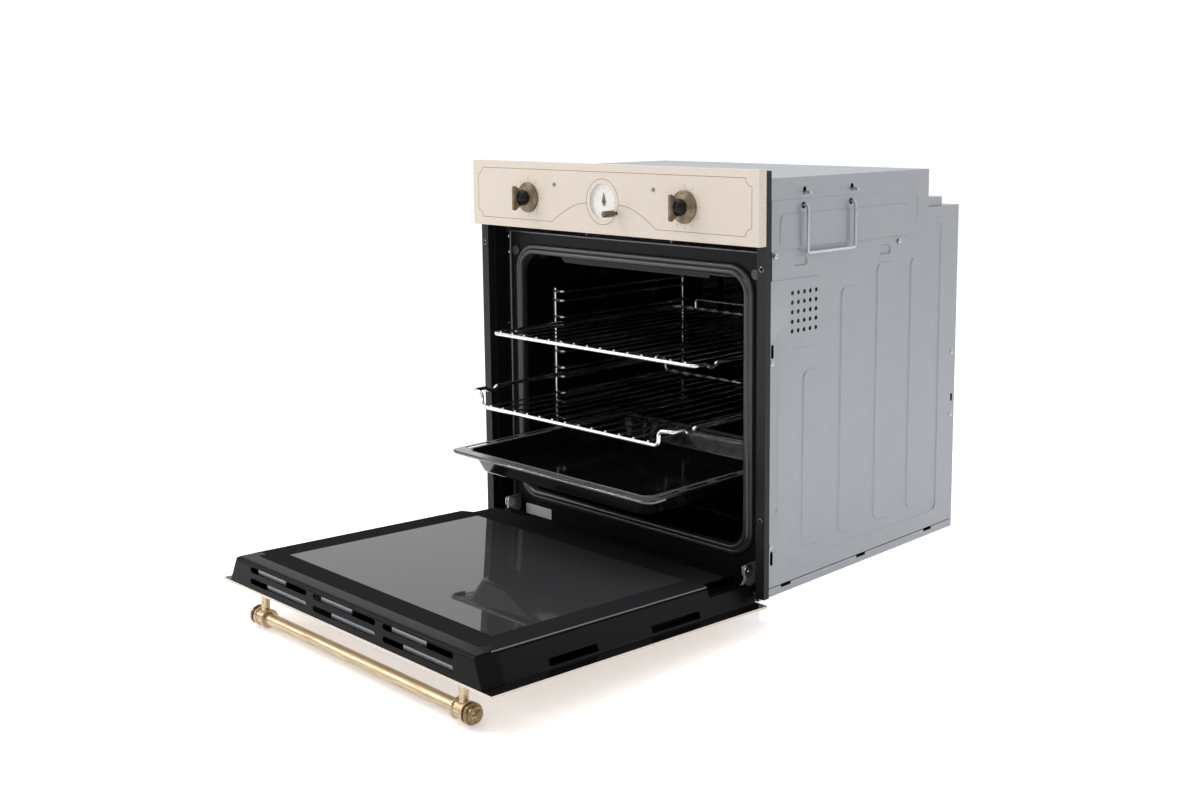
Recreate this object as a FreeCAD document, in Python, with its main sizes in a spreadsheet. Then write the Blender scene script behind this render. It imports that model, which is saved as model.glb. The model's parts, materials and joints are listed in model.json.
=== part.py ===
import FreeCAD, Part
import math
import os
from types import SimpleNamespace

import Sketcher
from FreeCAD import Placement, Rotation, Vector

# A built-in electric oven for a 600 mm kitchen niche, with its drop-down door open and
# its shelves and tray drawn out.
# Frame: X to the right seen from the front, Y to the back, Z up. The origin is the middle
# of the base's underside, at the plane of the cabinet's front edges.

# Driving dimensions: alias, value in millimetres (or degrees), what it measures
DRIVING_SIZES = (
    ("cavity_width", 460.0, "inside width of the cavity"),
    ("cavity_height", 390.0, "inside height of the cavity"),
    ("cavity_depth", 421.5, "inside depth of the cavity"),
    ("cavity_bottom", 62.0, "height of the cavity's floor"),
    ("side_space", 49.0, "cavity's side to the outside of the body"),
    ("rear_space", 43.0, "cavity's back to the outside of the back panel"),
    ("front_overlap", 18.5, "front wider than the body on each side"),
    ("top_setdown", 13.5, "top cover below the control panel's top"),
    ("deck_depth", 87.0, "depth of the step behind the top cover"),
    ("deck_drop", 59.0, "top cover to the step"),
    ("sheet", 1.0, "thickness of the body sheet"),
    ("base_flange", 12.0, "height of the base tray's upstands"),
    ("base_front", 3.0, "reach of the base in front of the cabinet plane"),
    ("base_notch_first", 48.0, "cabinet plane to the first notch in the base upstands"),
    ("base_notch_pitch", 180.0, "distance between the notches in the base upstands"),
    ("base_notch_length", 22.0, "length of the notches in the base upstands"),
    ("base_notch_depth", 4.0, "depth of the notches in the base upstands"),
    ("rib_height", 0.8, "how far the pressed ribs stand out"),
    ("rib_width", 43.0, "width of a pressed rib"),
    ("rib_bottom", 55.5, "lower end of the pressed ribs"),
    ("rib_pitch", 88.0, "distance between pressed ribs"),
    ("rib_start", 96.0, "cabinet plane to the first pressed rib"),
    ("first_rib_height", 256.5, "height of the first pressed rib"),
    ("second_rib_height", 366.5, "height of the second pressed rib"),
    ("tall_rib_height", 395.0, "height of the other pressed ribs"),
    ("rib_corner", 12.0, "corner radius of the pressed ribs"),
    ("band_front", 42.0, "front end of the pressed band near the top"),
    ("band_length", 311.0, "length of the pressed band near the top"),
    ("band_drop", 50.0, "top cover to the pressed band"),
    ("band_height", 47.5, "height of the pressed band"),
    ("vent_front", 68.0, "first vent hole behind the cabinet plane"),
    ("vent_low", 372.0, "lowest row of vent holes"),
    ("vent_pitch", 13.4, "pitch of the vent holes"),
    ("vent_radius", 3.2, "radius of a vent hole"),
    ("frame_screw_setback", 24.0, "cabinet plane to the screws into the front frame"),
    ("frame_screw_low", 72.0, "height of the lower screw into the front frame"),
    ("frame_screw_high", 332.0, "height of the upper screw into the front frame"),
    ("top_screw_drop", 106.0, "top cover to the upper row of body screws"),
    ("top_screw_front", 31.0, "cabinet plane to the front screw of the upper row"),
    ("top_screw_spacing", 295.0, "distance between the screws of the upper row"),
    ("back_screw_inset", 11.0, "back panel to the rear row of body screws"),
    ("back_screw_low", 188.0, "height of the lower screw of the rear row"),
    ("back_screw_high", 290.0, "height of the upper screw of the rear row"),
    ("screw_head_radius", 4.0, "head radius of the body screws"),
    ("screw_head_height", 1.8, "head height of the body screws"),
    ("screw_shank_radius", 1.9, "shank radius of the body screws"),
    ("screw_shank_length", 8.0, "shank length of the body screws"),
    ("screw_clearance", 0.2, "clearance round a screw shank"),
    ("back_slot_length", 70.0, "length of the back panel's vent slots"),
    ("back_slot_height", 6.0, "height of the back panel's vent slots"),
    ("back_slot_low", 380.0, "lowest vent slot in the back panel"),
    ("back_slot_step", 18.0, "distance between rows of the back panel's vent slots"),
    ("back_slot_pitch", 105.0, "distance between columns of the back panel's vent slots"),
    ("trim_depth", 12.0, "depth of the side trims, flange included"),
    ("trim_width", 15.5, "width of the side trims"),
    ("trim_bottom", 9.0, "lower end of the side trims"),
    ("trim_top_gap", 2.0, "side trim top below the control panel's top"),
    ("frame_sheet", 1.5, "thickness of the front frame and trims"),
    ("frame_setback", 23.0, "cabinet plane to the recessed face round the cavity"),
    ("frame_above", 34.0, "top of the recessed face above the cavity"),
    ("flange_inset", 1.5, "front frame flange inside the trim's outer face"),
    ("fixing_inset", 7.5, "fixing screw hole to the outer edge of the trim"),
    ("fixing_low", 120.0, "height of the lower fixing screw holes"),
    ("fixing_spacing", 346.0, "lower to upper fixing screw holes"),
    ("fixing_radius", 2.2, "radius of the fixing screw holes"),
    ("panel_height", 102.0, "height of the control panel"),
    ("panel_depth", 15.0, "depth of the control panel"),
    ("panel_sheet", 1.5, "thickness of the control panel's walls"),
    ("panel_gap", 4.0, "gap between the door and the control panel"),
    ("control_rise", 47.5, "control axes above the panel's lower edge"),
    ("knob_spread", 164.0, "middle of the panel to a knob's axis"),
    ("knob_hole", 5.5, "radius of the panel's hole for a knob spindle"),
    ("knob_skirt_radius", 23.0, "radius of a knob's conical skirt at the panel"),
    ("knob_rim", 3.0, "height of the skirt's straight rim"),
    ("knob_neck_radius", 12.5, "radius of a knob's skirt at its front"),
    ("knob_skirt_height", 12.0, "height of the conical skirt"),
    ("knob_gap", 0.5, "gap between a knob and the panel"),
    ("knob_height", 35.0, "panel face to the front of a knob"),
    ("wing_length", 39.0, "length of a knob's grip wing"),
    ("wing_width", 7.0, "thickness of a knob's grip wing"),
    ("wing_tip", 6.0, "depth of a grip wing's ends"),
    ("wing_bevel", 2.5, "bevel of a grip wing's front corners"),
    ("wing_root", 9.0, "half height of a grip wing at the boss"),
    ("boss_radius", 12.0, "radius of a knob's round black boss"),
    ("boss_height", 7.0, "how far the black boss stands in front of the skirt"),
    ("spindle_radius", 3.0, "radius of the knob spindles"),
    ("spindle_depth", 16.0, "how far a spindle reaches into its switch"),
    ("running_clearance", 0.06, "radial clearance of shafts in their bushes"),
    ("bush_radius", 5.0, "radius of the switch bushes"),
    ("switch_width", 42.0, "width and height of the switch bodies"),
    ("switch_depth", 34.0, "depth of the switch bodies"),
    ("bracket_sheet", 1.2, "thickness of inner brackets and ducts"),
    ("bracket_gap", 0.2, "clearance beside inner brackets"),
    ("dial_radius", 26.5, "radius of the dial's window in the panel"),
    ("dial_lip", 2.5, "dial rim outside its window"),
    ("dial_recess", 2.5, "dial face behind the panel's sheet"),
    ("dial_sheet", 1.5, "thickness of the dial"),
    ("hand_length", 20.0, "length of the timer's hand"),
    ("hand_width", 6.0, "width of the timer's hand"),
    ("hand_sheet", 0.8, "thickness of the timer's hand"),
    ("hand_gap", 1.0, "gap between the hand and the dial"),
    ("arbor_radius", 1.5, "radius of the hand's arbor"),
    ("setter_side", 29.0, "timer setting knob beside the dial's middle"),
    ("setter_drop", 15.5, "timer setting knob below the dial's middle"),
    ("setter_stem_radius", 2.0, "radius of the timer's setting stem"),
    ("setter_stem_length", 5.0, "bare stem in front of the panel"),
    ("setter_radius", 4.8, "radius of the timer's setting knob"),
    ("setter_length", 22.0, "length of the timer's setting knob"),
    ("setter_hole", 3.0, "radius of the panel's hole for the setting stem"),
    ("setter_lobe", 7.0, "radius of the timer case round the stem"),
    ("pilot_spread", 104.0, "middle of the panel to a pilot lens"),
    ("pilot_rise", 69.0, "pilot lenses above the panel's lower edge"),
    ("pilot_radius", 2.2, "radius of a pilot lens"),
    ("pilot_proud", 0.6, "how far a pilot lens stands out"),
    ("pilot_gap", 0.15, "clearance round a pilot lens"),
    ("pilot_lip", 1.8, "width and thickness of a pilot lens's collar"),
    ("cavity_wall", 1.5, "thickness of the cavity's walls"),
    ("cavity_corner", 35.0, "corner radius of the cavity"),
    ("seal_side", 20.0, "seal's outer edge outside the cavity opening"),
    ("seal_ends", 14.0, "seal's outer edge above and below the opening"),
    ("seal_band", 16.0, "width of the door seal"),
    ("seal_corner", 42.0, "outer corner radius of the door seal"),
    ("seal_gap", 0.3, "closed door's inner face to the door seal"),
    ("wrap_side_gap", 32.2, "insulation to the outside of the body"),
    ("wrap_top", 22.0, "thickness of the insulation above the cavity"),
    ("wrap_back", 24.0, "thickness of the insulation behind the cavity"),
    ("wrap_floor", 14.0, "thickness of the insulation under the heater"),
    ("heater_space", 18.0, "space under the cavity for the lower heater"),
    ("wrap_gap", 0.3, "clearance between insulation and cavity"),
    ("heater_diameter", 6.5, "diameter of the tubular heaters"),
    ("heater_gap", 0.3, "clearance round a heater tube"),
    ("heater_bend", 20.0, "bend radius of the heaters"),
    ("heater_half", 150.0, "half width of the heaters"),
    ("heater_inner", 70.0, "half width between the inner runs"),
    ("heater_lead", 30.0, "half distance between a heater's leads"),
    ("heater_tail", 34.0, "heater leads behind the cavity"),
    ("heater_front", 75.0, "cavity front to the heaters' front bends"),
    ("heater_rear", 45.0, "cavity back to the heaters' rear bends"),
    ("grill_drop", 16.0, "cavity ceiling to the grill heater"),
    ("shield_half", 165.0, "half width of the grill shield at the ceiling"),
    ("shield_cut", 13.0, "slant of the grill shield's ends"),
    ("shield_height", 13.0, "height of the grill shield"),
    ("shield_setback", 11.0, "cavity front to the grill shield"),
    ("lamp_side", 150.0, "lamp beside the middle of the back wall"),
    ("lamp_drop", 55.0, "lamp below the cavity's ceiling"),
    ("lamp_radius", 23.0, "radius of the lamp's glass cover"),
    ("lamp_proud", 9.0, "how far the lamp cover stands into the cavity"),
    ("lamp_glass", 2.5, "thickness of the lamp's glass cover"),
    ("bulb_radius", 10.0, "radius of the lamp bulb"),
    ("bulb_clearance", 2.0, "clearance round the lamp bulb"),
    ("lamp_holder_length", 26.0, "depth of the lamp holder behind the wall"),
    ("probe_radius", 3.0, "radius of the thermostat's sensing bulb"),
    ("probe_length", 100.0, "length of the thermostat's sensing bulb"),
    ("probe_standoff", 7.0, "sensing bulb in front of the back wall"),
    ("probe_drop", 30.0, "sensing bulb below the cavity's ceiling"),
    ("runner_diameter", 5.0, "diameter of the ladder's runner wires"),
    ("upright_diameter", 4.0, "diameter of the ladder's uprights"),
    ("ladder_gap", 0.2, "ladder to the cavity's side wall"),
    ("runner_reach", 17.0, "runner wires inboard of the uprights"),
    ("runner_bend", 5.5, "bend radius of the runner wires"),
    ("ladder_setback", 58.5, "cavity front to the ladder's front uprights"),
    ("ladder_rear", 56.0, "ladder's rear uprights to the cavity's back"),
    ("level_low", 94.8, "cavity floor to the lowest runner wire"),
    ("level_pitch", 42.25, "distance between shelf levels"),
    ("level_headroom", 65.0, "least height from the top level to the ceiling"),
    ("level_gap", 15.0, "distance between the two wires of a level"),
    ("slide_gap", 0.3, "running gap between a shelf and its runners"),
    ("shelf_wire", 6.0, "diameter of a shelf's frame wire"),
    ("shelf_bar", 3.0, "diameter of a shelf's fine bars"),
    ("guard_wire", 5.0, "diameter of the upper shelf's rear guard"),
    ("shelf_overlap", 1.0, "weld depth of the bars into the frame"),
    ("shelf_outset", 1.0, "shelf side wire outside the runner wires"),
    ("shelf_slack", 11.5, "wire shelves shorter than the cavity"),
    ("shelf_bend", 9.0, "bend radius of the shelf frames"),
    ("shelf_pitch", 28.0, "pitch of the fine bars"),
    ("upper_out", 87.0, "how far the upper shelf is drawn out"),
    ("lower_out", 132.0, "how far the lower shelf is drawn out"),
    ("shelf_home", 12.0, "closed door's inner face to a shelf pushed home"),
    ("notch_start", 26.0, "shelf front to its side notch"),
    ("notch_length", 22.0, "length of the side notch"),
    ("notch_depth", 5.0, "depth of the side notch"),
    ("notch_bend", 4.0, "bend radius of the side notch"),
    ("guard_half", 158.0, "half width of the upper shelf's rear guard"),
    ("guard_height", 17.0, "height of the upper shelf's rear guard"),
    ("lower_drop", 22.0, "lower shelf's bars below its rails"),
    ("lower_inset", 23.0, "lower shelf's dropped wire inside its rails"),
    ("tray_overlap", 4.2, "tray's rim outside the runner wires"),
    ("tray_slack", 46.5, "baking tray shorter than the cavity"),
    ("tray_height", 33.0, "height of the baking tray"),
    ("tray_sheet", 1.2, "thickness of the baking tray"),
    ("tray_rim_side", 21.0, "width of the tray's side rims"),
    ("tray_rim_end", 17.0, "width of the tray's front and rear rims"),
    ("tray_slope", 12.0, "lean of the tray's walls"),
    ("tray_corner", 14.0, "outer corner radius of the tray"),
    ("tray_out", 182.0, "how far the baking tray is drawn out"),
    ("tray_home", 16.0, "closed door's inner face to the tray pushed home"),
    ("tray_slot_start", 26.0, "tray's front edge to the first slots in its rim"),
    ("tray_slot_length", 49.0, "length of the slots in the tray's rim"),
    ("tray_slot_width", 7.0, "width of the slots in the tray's rim"),
    ("tray_slot_corner", 3.15, "corner radius of the slots in the tray's rim"),
    ("tray_slot_step", 59.0, "distance between the slots of one rim"),
    ("door_angle", 87.2, "angle of the open door"),
    ("door_above", 41.0, "top of the closed door above the cavity"),
    ("door_bottom", 4.0, "lower edge of the closed door"),
    ("door_depth", 41.0, "outer face to inner face of the door"),
    ("door_glass", 4.0, "thickness of the door's glass panes"),
    ("hinge_setback", 15.7, "door's outer face to the hinge axis"),
    ("hinge_height", 11.8, "height of the hinge axis"),
    ("inner_glass_overlap", 33.0, "inner glass wider than the cavity on each side"),
    ("inner_glass_bottom", 40.0, "lower edge of the inner glass"),
    ("inner_glass_top_gap", 25.5, "inner glass below the door's top"),
    ("inner_notch_width", 17.0, "width of the inner glass's hinge notches"),
    ("inner_notch_top", 93.0, "top of the inner glass's hinge notches"),
    ("stile_sheet", 1.3, "thickness of the door's stiles and rails"),
    ("stile_fold", 1.95, "inner corner of a stile's outer fold to its edge"),
    ("stile_bottom", 8.0, "lower end of the door's stiles"),
    ("stile_inset", 18.0, "stiles inside the outer panel's side edges"),
    ("stile_taper", 15.0, "inward lean of the stiles over the door's depth"),
    ("stile_flange", 27.0, "width of a stile's flange on the outer panel"),
    ("stile_ledge", 17.0, "width of a stile's ledge under the inner glass"),
    ("stile_slot_low", 120.0, "lower end of the stiles' lower vent slot"),
    ("stile_slot_low_length", 91.0, "length of the stiles' lower vent slot"),
    ("stile_slot_high", 307.0, "lower end of the stiles' upper vent slot"),
    ("stile_slot_high_length", 80.0, "length of the stiles' upper vent slot"),
    ("stile_slot_width", 9.0, "width of the vent slots in the stiles"),
    ("cap_sheet", 1.5, "thickness of the door's top cap"),
    ("cap_drop", 1.0, "top cap below the outer panel's top edge"),
    ("cap_lip", 24.0, "height of the top cap's inner lip"),
    ("cap_slot_length", 140.0, "length of the top cap's vent slots"),
    ("cap_slot_width", 8.0, "width of the top cap's vent slots"),
    ("cap_slot_corner", 3.6, "corner radius of the top cap's vent slots"),
    ("cap_slot_pitch", 156.0, "distance between the top cap's vent slots"),
    ("cap_slot_first", 7.0, "outer panel to the first row of slots"),
    ("cap_slot_step", 16.0, "distance between the two rows of slots"),
    ("rail_gap", 11.5, "bottom rail's end to the middle of a hinge arm"),
    ("rail_bottom", 12.0, "lower face of the door's bottom rail"),
    ("rail_height", 50.0, "height of the bottom rail's inner wall"),
    ("hinge_inset", 23.5, "middle of a hinge arm to the outside of the body"),
    ("arm_sheet", 4.0, "thickness of a hinge arm"),
    ("arm_radius", 7.5, "radius of a hinge arm's eye"),
    ("arm_tangent", 4.5, "eye's middle to the corners of the arm at the eye"),
    ("arm_opening", 13.28, "half width of a stile's opening round the hinge arm"),
    ("pin_radius", 3.0, "radius of a hinge pin"),
    ("pin_head_radius", 5.0, "radius of a hinge pin's head"),
    ("pin_head_height", 1.5, "height of a hinge pin's head"),
    ("channel_half", 5.0, "half width inside a hinge channel"),
    ("channel_sheet", 1.5, "thickness of a hinge channel"),
    ("channel_depth", 22.0, "depth of a hinge channel's walls"),
    ("channel_top", 200.0, "upper end of a hinge channel"),
    ("spring_start", 80.0, "lower end of a hinge spring"),
    ("spring_length", 110.0, "length of a hinge spring"),
    ("spring_radius", 4.8, "radius of a hinge spring"),
    ("spring_wire", 1.6, "wire thickness of a hinge spring"),
    ("spring_gap", 0.1, "hinge spring to its channel"),
    ("arm_bottom", 22.0, "lower edge of a hinge arm at the frame"),
    ("arm_top", 45.5, "upper edge of a hinge arm"),
    ("arm_front", 27.0, "front edge of a hinge arm in front of the frame"),
    ("arm_chin", 27.0, "lower end of a hinge arm's front edge"),
    ("arm_reach", 40.0, "hinge arm behind the frame"),
    ("receiver_depth", 55.0, "depth of a hinge receiver"),
    ("receiver_gap", 0.3, "clearance round a hinge arm in its receiver"),
    ("handle_drop", 21.5, "top of the closed door to the handle"),
    ("handle_standoff", 40.0, "outer panel to the handle's axis"),
    ("handle_radius", 8.7, "radius of the handle's bar"),
    ("handle_overhang", 15.0, "end of the handle's bar beyond a post"),
    ("post_spread", 221.0, "middle of the door to a handle post"),
    ("post_radius", 6.5, "radius of a handle post"),
    ("sleeve_half", 11.0, "half length of a post's sleeve"),
    ("sleeve_radius", 11.5, "radius of a post's sleeve"),
    ("sleeve_gap", 0.05, "clearance between sleeve and bar"),
    ("ring_radius", 13.5, "radius of the rings on a sleeve"),
    ("ring_width", 3.0, "width of the rings on a sleeve"),
    ("finial_radius", 13.5, "radius of a handle finial"),
    ("finial_step", 10.8, "radius of a finial's middle step"),
    ("finial_tip", 5.25, "radius of a finial's tip"),
    ("finial_length", 14.0, "length of a handle finial"),
    ("bail_front", 93.0, "cabinet plane to a bail's front leg"),
    ("bail_span", 110.0, "distance between a bail's legs"),
    ("bail_wire", 4.4, "diameter of the carrying bails' wire"),
    ("bail_hole_drop", 39.5, "top cover to the bails' lower holes"),
    ("bail_hole_rise", 18.0, "upper holes above the lower holes"),
    ("bail_hole_radius", 5.0, "radius of the bails' lower holes"),
    ("bail_slot_corner", 4.5, "corner radius of the bails' upper holes"),
    ("bail_seat_gap", 0.9, "clearance under a bail's wire in its holes"),
    ("bail_slot_rise", 9.0, "height that the upper holes leave above the wire"),
    ("bail_drop", 66.0, "lower holes to a hanging bail's bar"),
    ("bail_standoff", 7.0, "side panel to a hanging bail's legs"),
    ("bail_inside", 5.5, "bail wire behind the side panel"),
    ("bail_tip", 11.0, "bail tips in front of the side panel"),
    ("bail_bend", 4.8, "bend radius of the bails"),
    ("duct_half", 90.0, "half width of the cooling blower's duct"),
    ("duct_height", 24.0, "height of the cooling duct"),
    ("blower_setback", 250.0, "cabinet plane to the blower housing"),
    ("blower_depth", 80.0, "depth of the blower housing"),
    ("blower_height", 74.0, "height of the blower housing"),
    ("wheel_radius", 24.0, "radius of the blower wheel"),
    ("wheel_gap", 6.0, "blower wheel to the housing's ends"),
    ("wheel_blade", 1.2, "thickness of a blower blade"),
    ("wheel_blade_depth", 7.0, "depth of a blower blade"),
    ("wheel_shaft", 2.5, "radius of the blower's shaft"),
    ("motor_radius", 27.0, "radius of the blower's motor"),
    ("motor_length", 34.0, "length of the blower's motor"),
    ("cover_inset", 4.0, "mains connection cover to the outside of the body"),
    ("cover_width", 80.0, "width of the mains connection cover"),
    ("cover_depth", 44.0, "depth of the mains connection cover"),
    ("cover_height", 14.5, "height of the mains connection cover"),
    ("gland_radius", 5.8, "radius of the cable gland"),
    ("gland_bore", 4.0, "bore radius of the cable gland"),
    ("gland_length", 14.0, "length of the cable gland behind its cover"),
)

# Counts that the real oven has
LOWER_SHELF_LEVEL = 2
TRAY_LEVEL = 0
TRAY_SLOTS = 3
BASE_NOTCHES = 3
VENT_ROWS = 5
BLOWER_BLADES = 18
BACK_SLOT_ROWS = 4
BACK_SLOT_COLUMNS = 4

SIDES = (("left", -1), ("right", 1))
ORIGIN_PLANES = {"front": "XZ_Plane", "side": "YZ_Plane", "top": "XY_Plane"}
AXIS_TURNS = {
    "x": Rotation(Vector(0, 1, 0), 90),
    "y": Rotation(Vector(1, 0, 0), -90),
    "z": Rotation(),
}

document = FreeCAD.newDocument("built_in_oven")
nodes = {}


class Size:
    """A sheet dimension, or an expression of several, with its present value."""

    def __init__(self, number, text):
        self.number = number
        self.text = text

    def __float__(self):
        return self.number

    def __add__(self, other):
        return Size(self.number + float(other), f"({self.text} + {text_of(other)})")

    __radd__ = __add__

    def __sub__(self, other):
        return Size(self.number - float(other), f"({self.text} - {text_of(other)})")

    def __rsub__(self, other):
        return Size(float(other) - self.number, f"({text_of(other)} - {self.text})")

    def __mul__(self, other):
        return Size(self.number * float(other), f"({self.text} * {text_of(other)})")

    __rmul__ = __mul__

    def __truediv__(self, other):
        return Size(self.number / float(other), f"({self.text} / {text_of(other)})")

    def __neg__(self):
        return Size(-self.number, f"(0 - {self.text})")


def text_of(size):
    """Returns the expression text of a size or a plain number."""
    if isinstance(size, Size):
        return size.text
    return f"({float(size):.6f})"


def fill_sheet():
    """Writes the driving dimensions to the spreadsheet and returns them by name."""
    sheet = document.addObject("Spreadsheet::Sheet", "Sizes")
    for row, (alias, number, note) in enumerate(DRIVING_SIZES, start=1):
        sheet.set(f"A{row}", note)
        sheet.set(f"B{row}", str(number))
        sheet.setAlias(f"B{row}", alias)
    document.recompute()
    return SimpleNamespace(**{
        alias: Size(float(sheet.get(alias)), f"Sizes.{alias}") for alias, _, _ in DRIVING_SIZES
    })


def bind(item, path, size):
    """Ties one property of an object to the sheet."""
    item.setExpression(path, text_of(size))


def place(item, position):
    """Ties an object's position to the sheet."""
    for axis, size in zip("xyz", position):
        bind(item, f"Placement.Base.{axis}", size)


def keep(label, item):
    """Marks an object as a sub-part under its node name."""
    item.Label = label
    nodes[label] = item


def box(low, high):
    """Makes a box between two corners."""
    item = document.addObject("Part::Box", "Box")
    for path, start, end in zip(("Length", "Width", "Height"), low, high):
        bind(item, path, end - start)
    place(item, low)
    return item


def rod(axis, start, length, radius):
    """Makes a cylinder from a start point along the positive x, y or z axis."""
    item = document.addObject("Part::Cylinder", "Rod")
    bind(item, "Radius", radius)
    bind(item, "Height", length)
    item.Placement = Placement(Vector(), AXIS_TURNS[axis])
    place(item, start)
    return item


def cone(start, length, first, last):
    """Makes a cone frustum from a start point towards the back."""
    item = document.addObject("Part::Cone", "Cone")
    bind(item, "Radius1", first)
    bind(item, "Radius2", last)
    bind(item, "Height", length)
    item.Placement = Placement(Vector(), AXIS_TURNS["y"])
    place(item, start)
    return item


def flat_ball(centre, radius, half_depth):
    """Makes a ball that is flattened along Y."""
    item = document.addObject("Part::Ellipsoid", "Ball")
    bind(item, "Radius1", half_depth)
    bind(item, "Radius2", radius)
    bind(item, "Radius3", radius)
    item.Placement = Placement(Vector(), AXIS_TURNS["y"])
    place(item, centre)
    return item


def fuse(*items):
    """Joins solids into one."""
    item = document.addObject("Part::MultiFuse", "Fuse")
    item.Shapes = list(items)
    item.Refine = True
    return item


def gather(*items):
    """Groups solids without joining them."""
    item = document.addObject("Part::Compound", "Group")
    item.Links = list(items)
    return item


def cut(base, *tools):
    """Cuts tools out of a base."""
    item = document.addObject("Part::Cut", "Cut")
    item.Base = base
    item.Tool = tools[0] if len(tools) == 1 else gather(*tools)
    return item


def feature(shape):
    """Holds a shape that is built from curves."""
    item = document.addObject("Part::Feature", "Wire")
    item.Shape = shape
    return item


def sketch_on(body, plane, offset):
    """Starts a sketch parallel to one of a body's origin planes."""
    sketch = body.newObject("Sketcher::SketchObject", "Sketch")
    for origin_feature in body.Origin.OriginFeatures:
        if origin_feature.Role == ORIGIN_PLANES[plane]:
            sketch.AttachmentSupport = [(origin_feature, "")]
    sketch.MapMode = "FlatFace"
    # The front plane's normal points to the front, against Y.
    bind(sketch, "AttachmentOffset.Base.z", -offset if plane == "front" else offset)
    return sketch


def pin_point(sketch, geometry, position, point):
    """Fixes a sketch point at its distances from the sketch origin."""
    for kind, axis, size in (("DistanceX", -2, point[0]), ("DistanceY", -1, point[1])):
        if abs(float(size)) < 1e-9:
            sketch.addConstraint(Sketcher.Constraint("PointOnObject", geometry, position, axis))
        elif float(size) > 0:
            index = sketch.addConstraint(Sketcher.Constraint(kind, -1, 1, geometry, position, float(size)))
            bind(sketch, f"Constraints[{index}]", size)
        else:
            index = sketch.addConstraint(Sketcher.Constraint(kind, geometry, position, -1, 1, -float(size)))
            bind(sketch, f"Constraints[{index}]", -size)


def flat(point):
    """Returns a sketch point as a vector."""
    return Vector(float(point[0]), float(point[1]), 0)


def add_line(sketch, start, end):
    """Adds a straight sketch line."""
    return sketch.addGeometry(Part.LineSegment(flat(start), flat(end)), False)


def add_polygon(sketch, points):
    """Adds a closed outline of straight lines."""
    lines = [add_line(sketch, start, end) for start, end in zip(points, points[1:] + points[:1])]
    for line, following in zip(lines, lines[1:] + lines[:1]):
        sketch.addConstraint(Sketcher.Constraint("Coincident", line, 2, following, 1))
    for line, point in zip(lines, points):
        pin_point(sketch, line, 1, point)


def add_rounded(sketch, west, east, south, north, radius):
    """Adds a rectangle with rounded corners."""
    runs = (
        ((west + radius, south), (east - radius, south)),
        ((east, south + radius), (east, north - radius)),
        ((east - radius, north), (west + radius, north)),
        ((west, north - radius), (west, south + radius)),
    )
    centres = (
        (east - radius, south + radius),
        (east - radius, north - radius),
        (west + radius, north - radius),
        (west + radius, south + radius),
    )
    lines = [add_line(sketch, start, end) for start, end in runs]
    for line, (start, end) in zip(lines, runs):
        pin_point(sketch, line, 1, start)
        pin_point(sketch, line, 2, end)
    for corner, centre in enumerate(centres):
        first_angle = math.radians(90 * corner - 90)
        circle = Part.Circle(flat(centre), Vector(0, 0, 1), float(radius))
        arc = sketch.addGeometry(Part.ArcOfCircle(circle, first_angle, first_angle + math.pi / 2), False)
        sketch.addConstraint(Sketcher.Constraint("Coincident", lines[corner], 2, arc, 1))
        sketch.addConstraint(Sketcher.Constraint("Coincident", arc, 2, lines[(corner + 1) % 4], 1))
        index = sketch.addConstraint(Sketcher.Constraint("Radius", arc, float(radius)))
        bind(sketch, f"Constraints[{index}]", radius)


def add_circle(sketch, centre, radius):
    """Adds a full circle."""
    circle = sketch.addGeometry(Part.Circle(flat(centre), Vector(0, 0, 1), float(radius)), False)
    pin_point(sketch, circle, 3, centre)
    index = sketch.addConstraint(Sketcher.Constraint("Radius", circle, float(radius)))
    bind(sketch, f"Constraints[{index}]", radius)


def new_body(name):
    """Starts a body made of sketched features."""
    return document.addObject("PartDesign::Body", name)


def pad(body, sketch, length, backwards=False):
    """Raises a sketch into a solid; backwards is towards +Y from a front sketch."""
    item = body.newObject("PartDesign::Pad", "Pad")
    item.Profile = sketch
    item.Reversed = backwards
    bind(item, "Length", length)


def pocket(body, sketch, depth):
    """Cuts a sketch into a body, against its normal, and makes sure that it cuts."""
    document.recompute()
    volume = body.Shape.Volume
    item = body.newObject("PartDesign::Pocket", "Pocket")
    item.Profile = sketch
    bind(item, "Length", depth)
    document.recompute()
    if not body.Shape.Volume < volume:
        raise RuntimeError(f"{body.Name}: a pocket cuts nothing")


def loft(body, kind, first, second):
    """Adds or removes a ruled loft between two sketches."""
    item = body.newObject(f"PartDesign::{kind}Loft", "Loft")
    item.Profile = first
    item.Sections = [second]
    item.Ruled = True


def point_at(*sizes):
    """Returns sizes as a vector."""
    return Vector(*(float(size) for size in sizes))


def bent_wire(points, diameter, bends):
    """Returns a round wire along straight runs joined by tangent arcs.

    bends is one bend radius, or one for each inner point.
    """
    inner = points[1:-1]
    radii = list(bends) if isinstance(bends, (list, tuple)) else [bends] * len(inner)
    edges = []
    start = points[0]
    for before, corner, after, bend in zip(points, inner, points[2:], radii):
        back = (before - corner).normalize()
        ahead = (after - corner).normalize()
        half = back.getAngle(ahead) / 2
        middle = (back + ahead).normalize()
        tangent = float(bend) / math.tan(half)
        inset = float(bend) / math.sin(half) - float(bend)
        first = corner + back * tangent
        last = corner + ahead * tangent
        edges.append(Part.LineSegment(start, first).toShape())
        edges.append(Part.Arc(first, corner + middle * inset, last).toShape())
        start = last
    edges.append(Part.LineSegment(start, points[-1]).toShape())
    section = Part.Wire(Part.makeCircle(float(diameter) / 2, points[0], points[1] - points[0]))
    return Part.Wire(edges).makePipeShell([section], True, False)


def straight_wire(start, end, diameter):
    """Returns a straight round wire."""
    run = end - start
    return Part.makeCylinder(float(diameter) / 2, run.Length, start, run)


S = fill_sheet()

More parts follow.
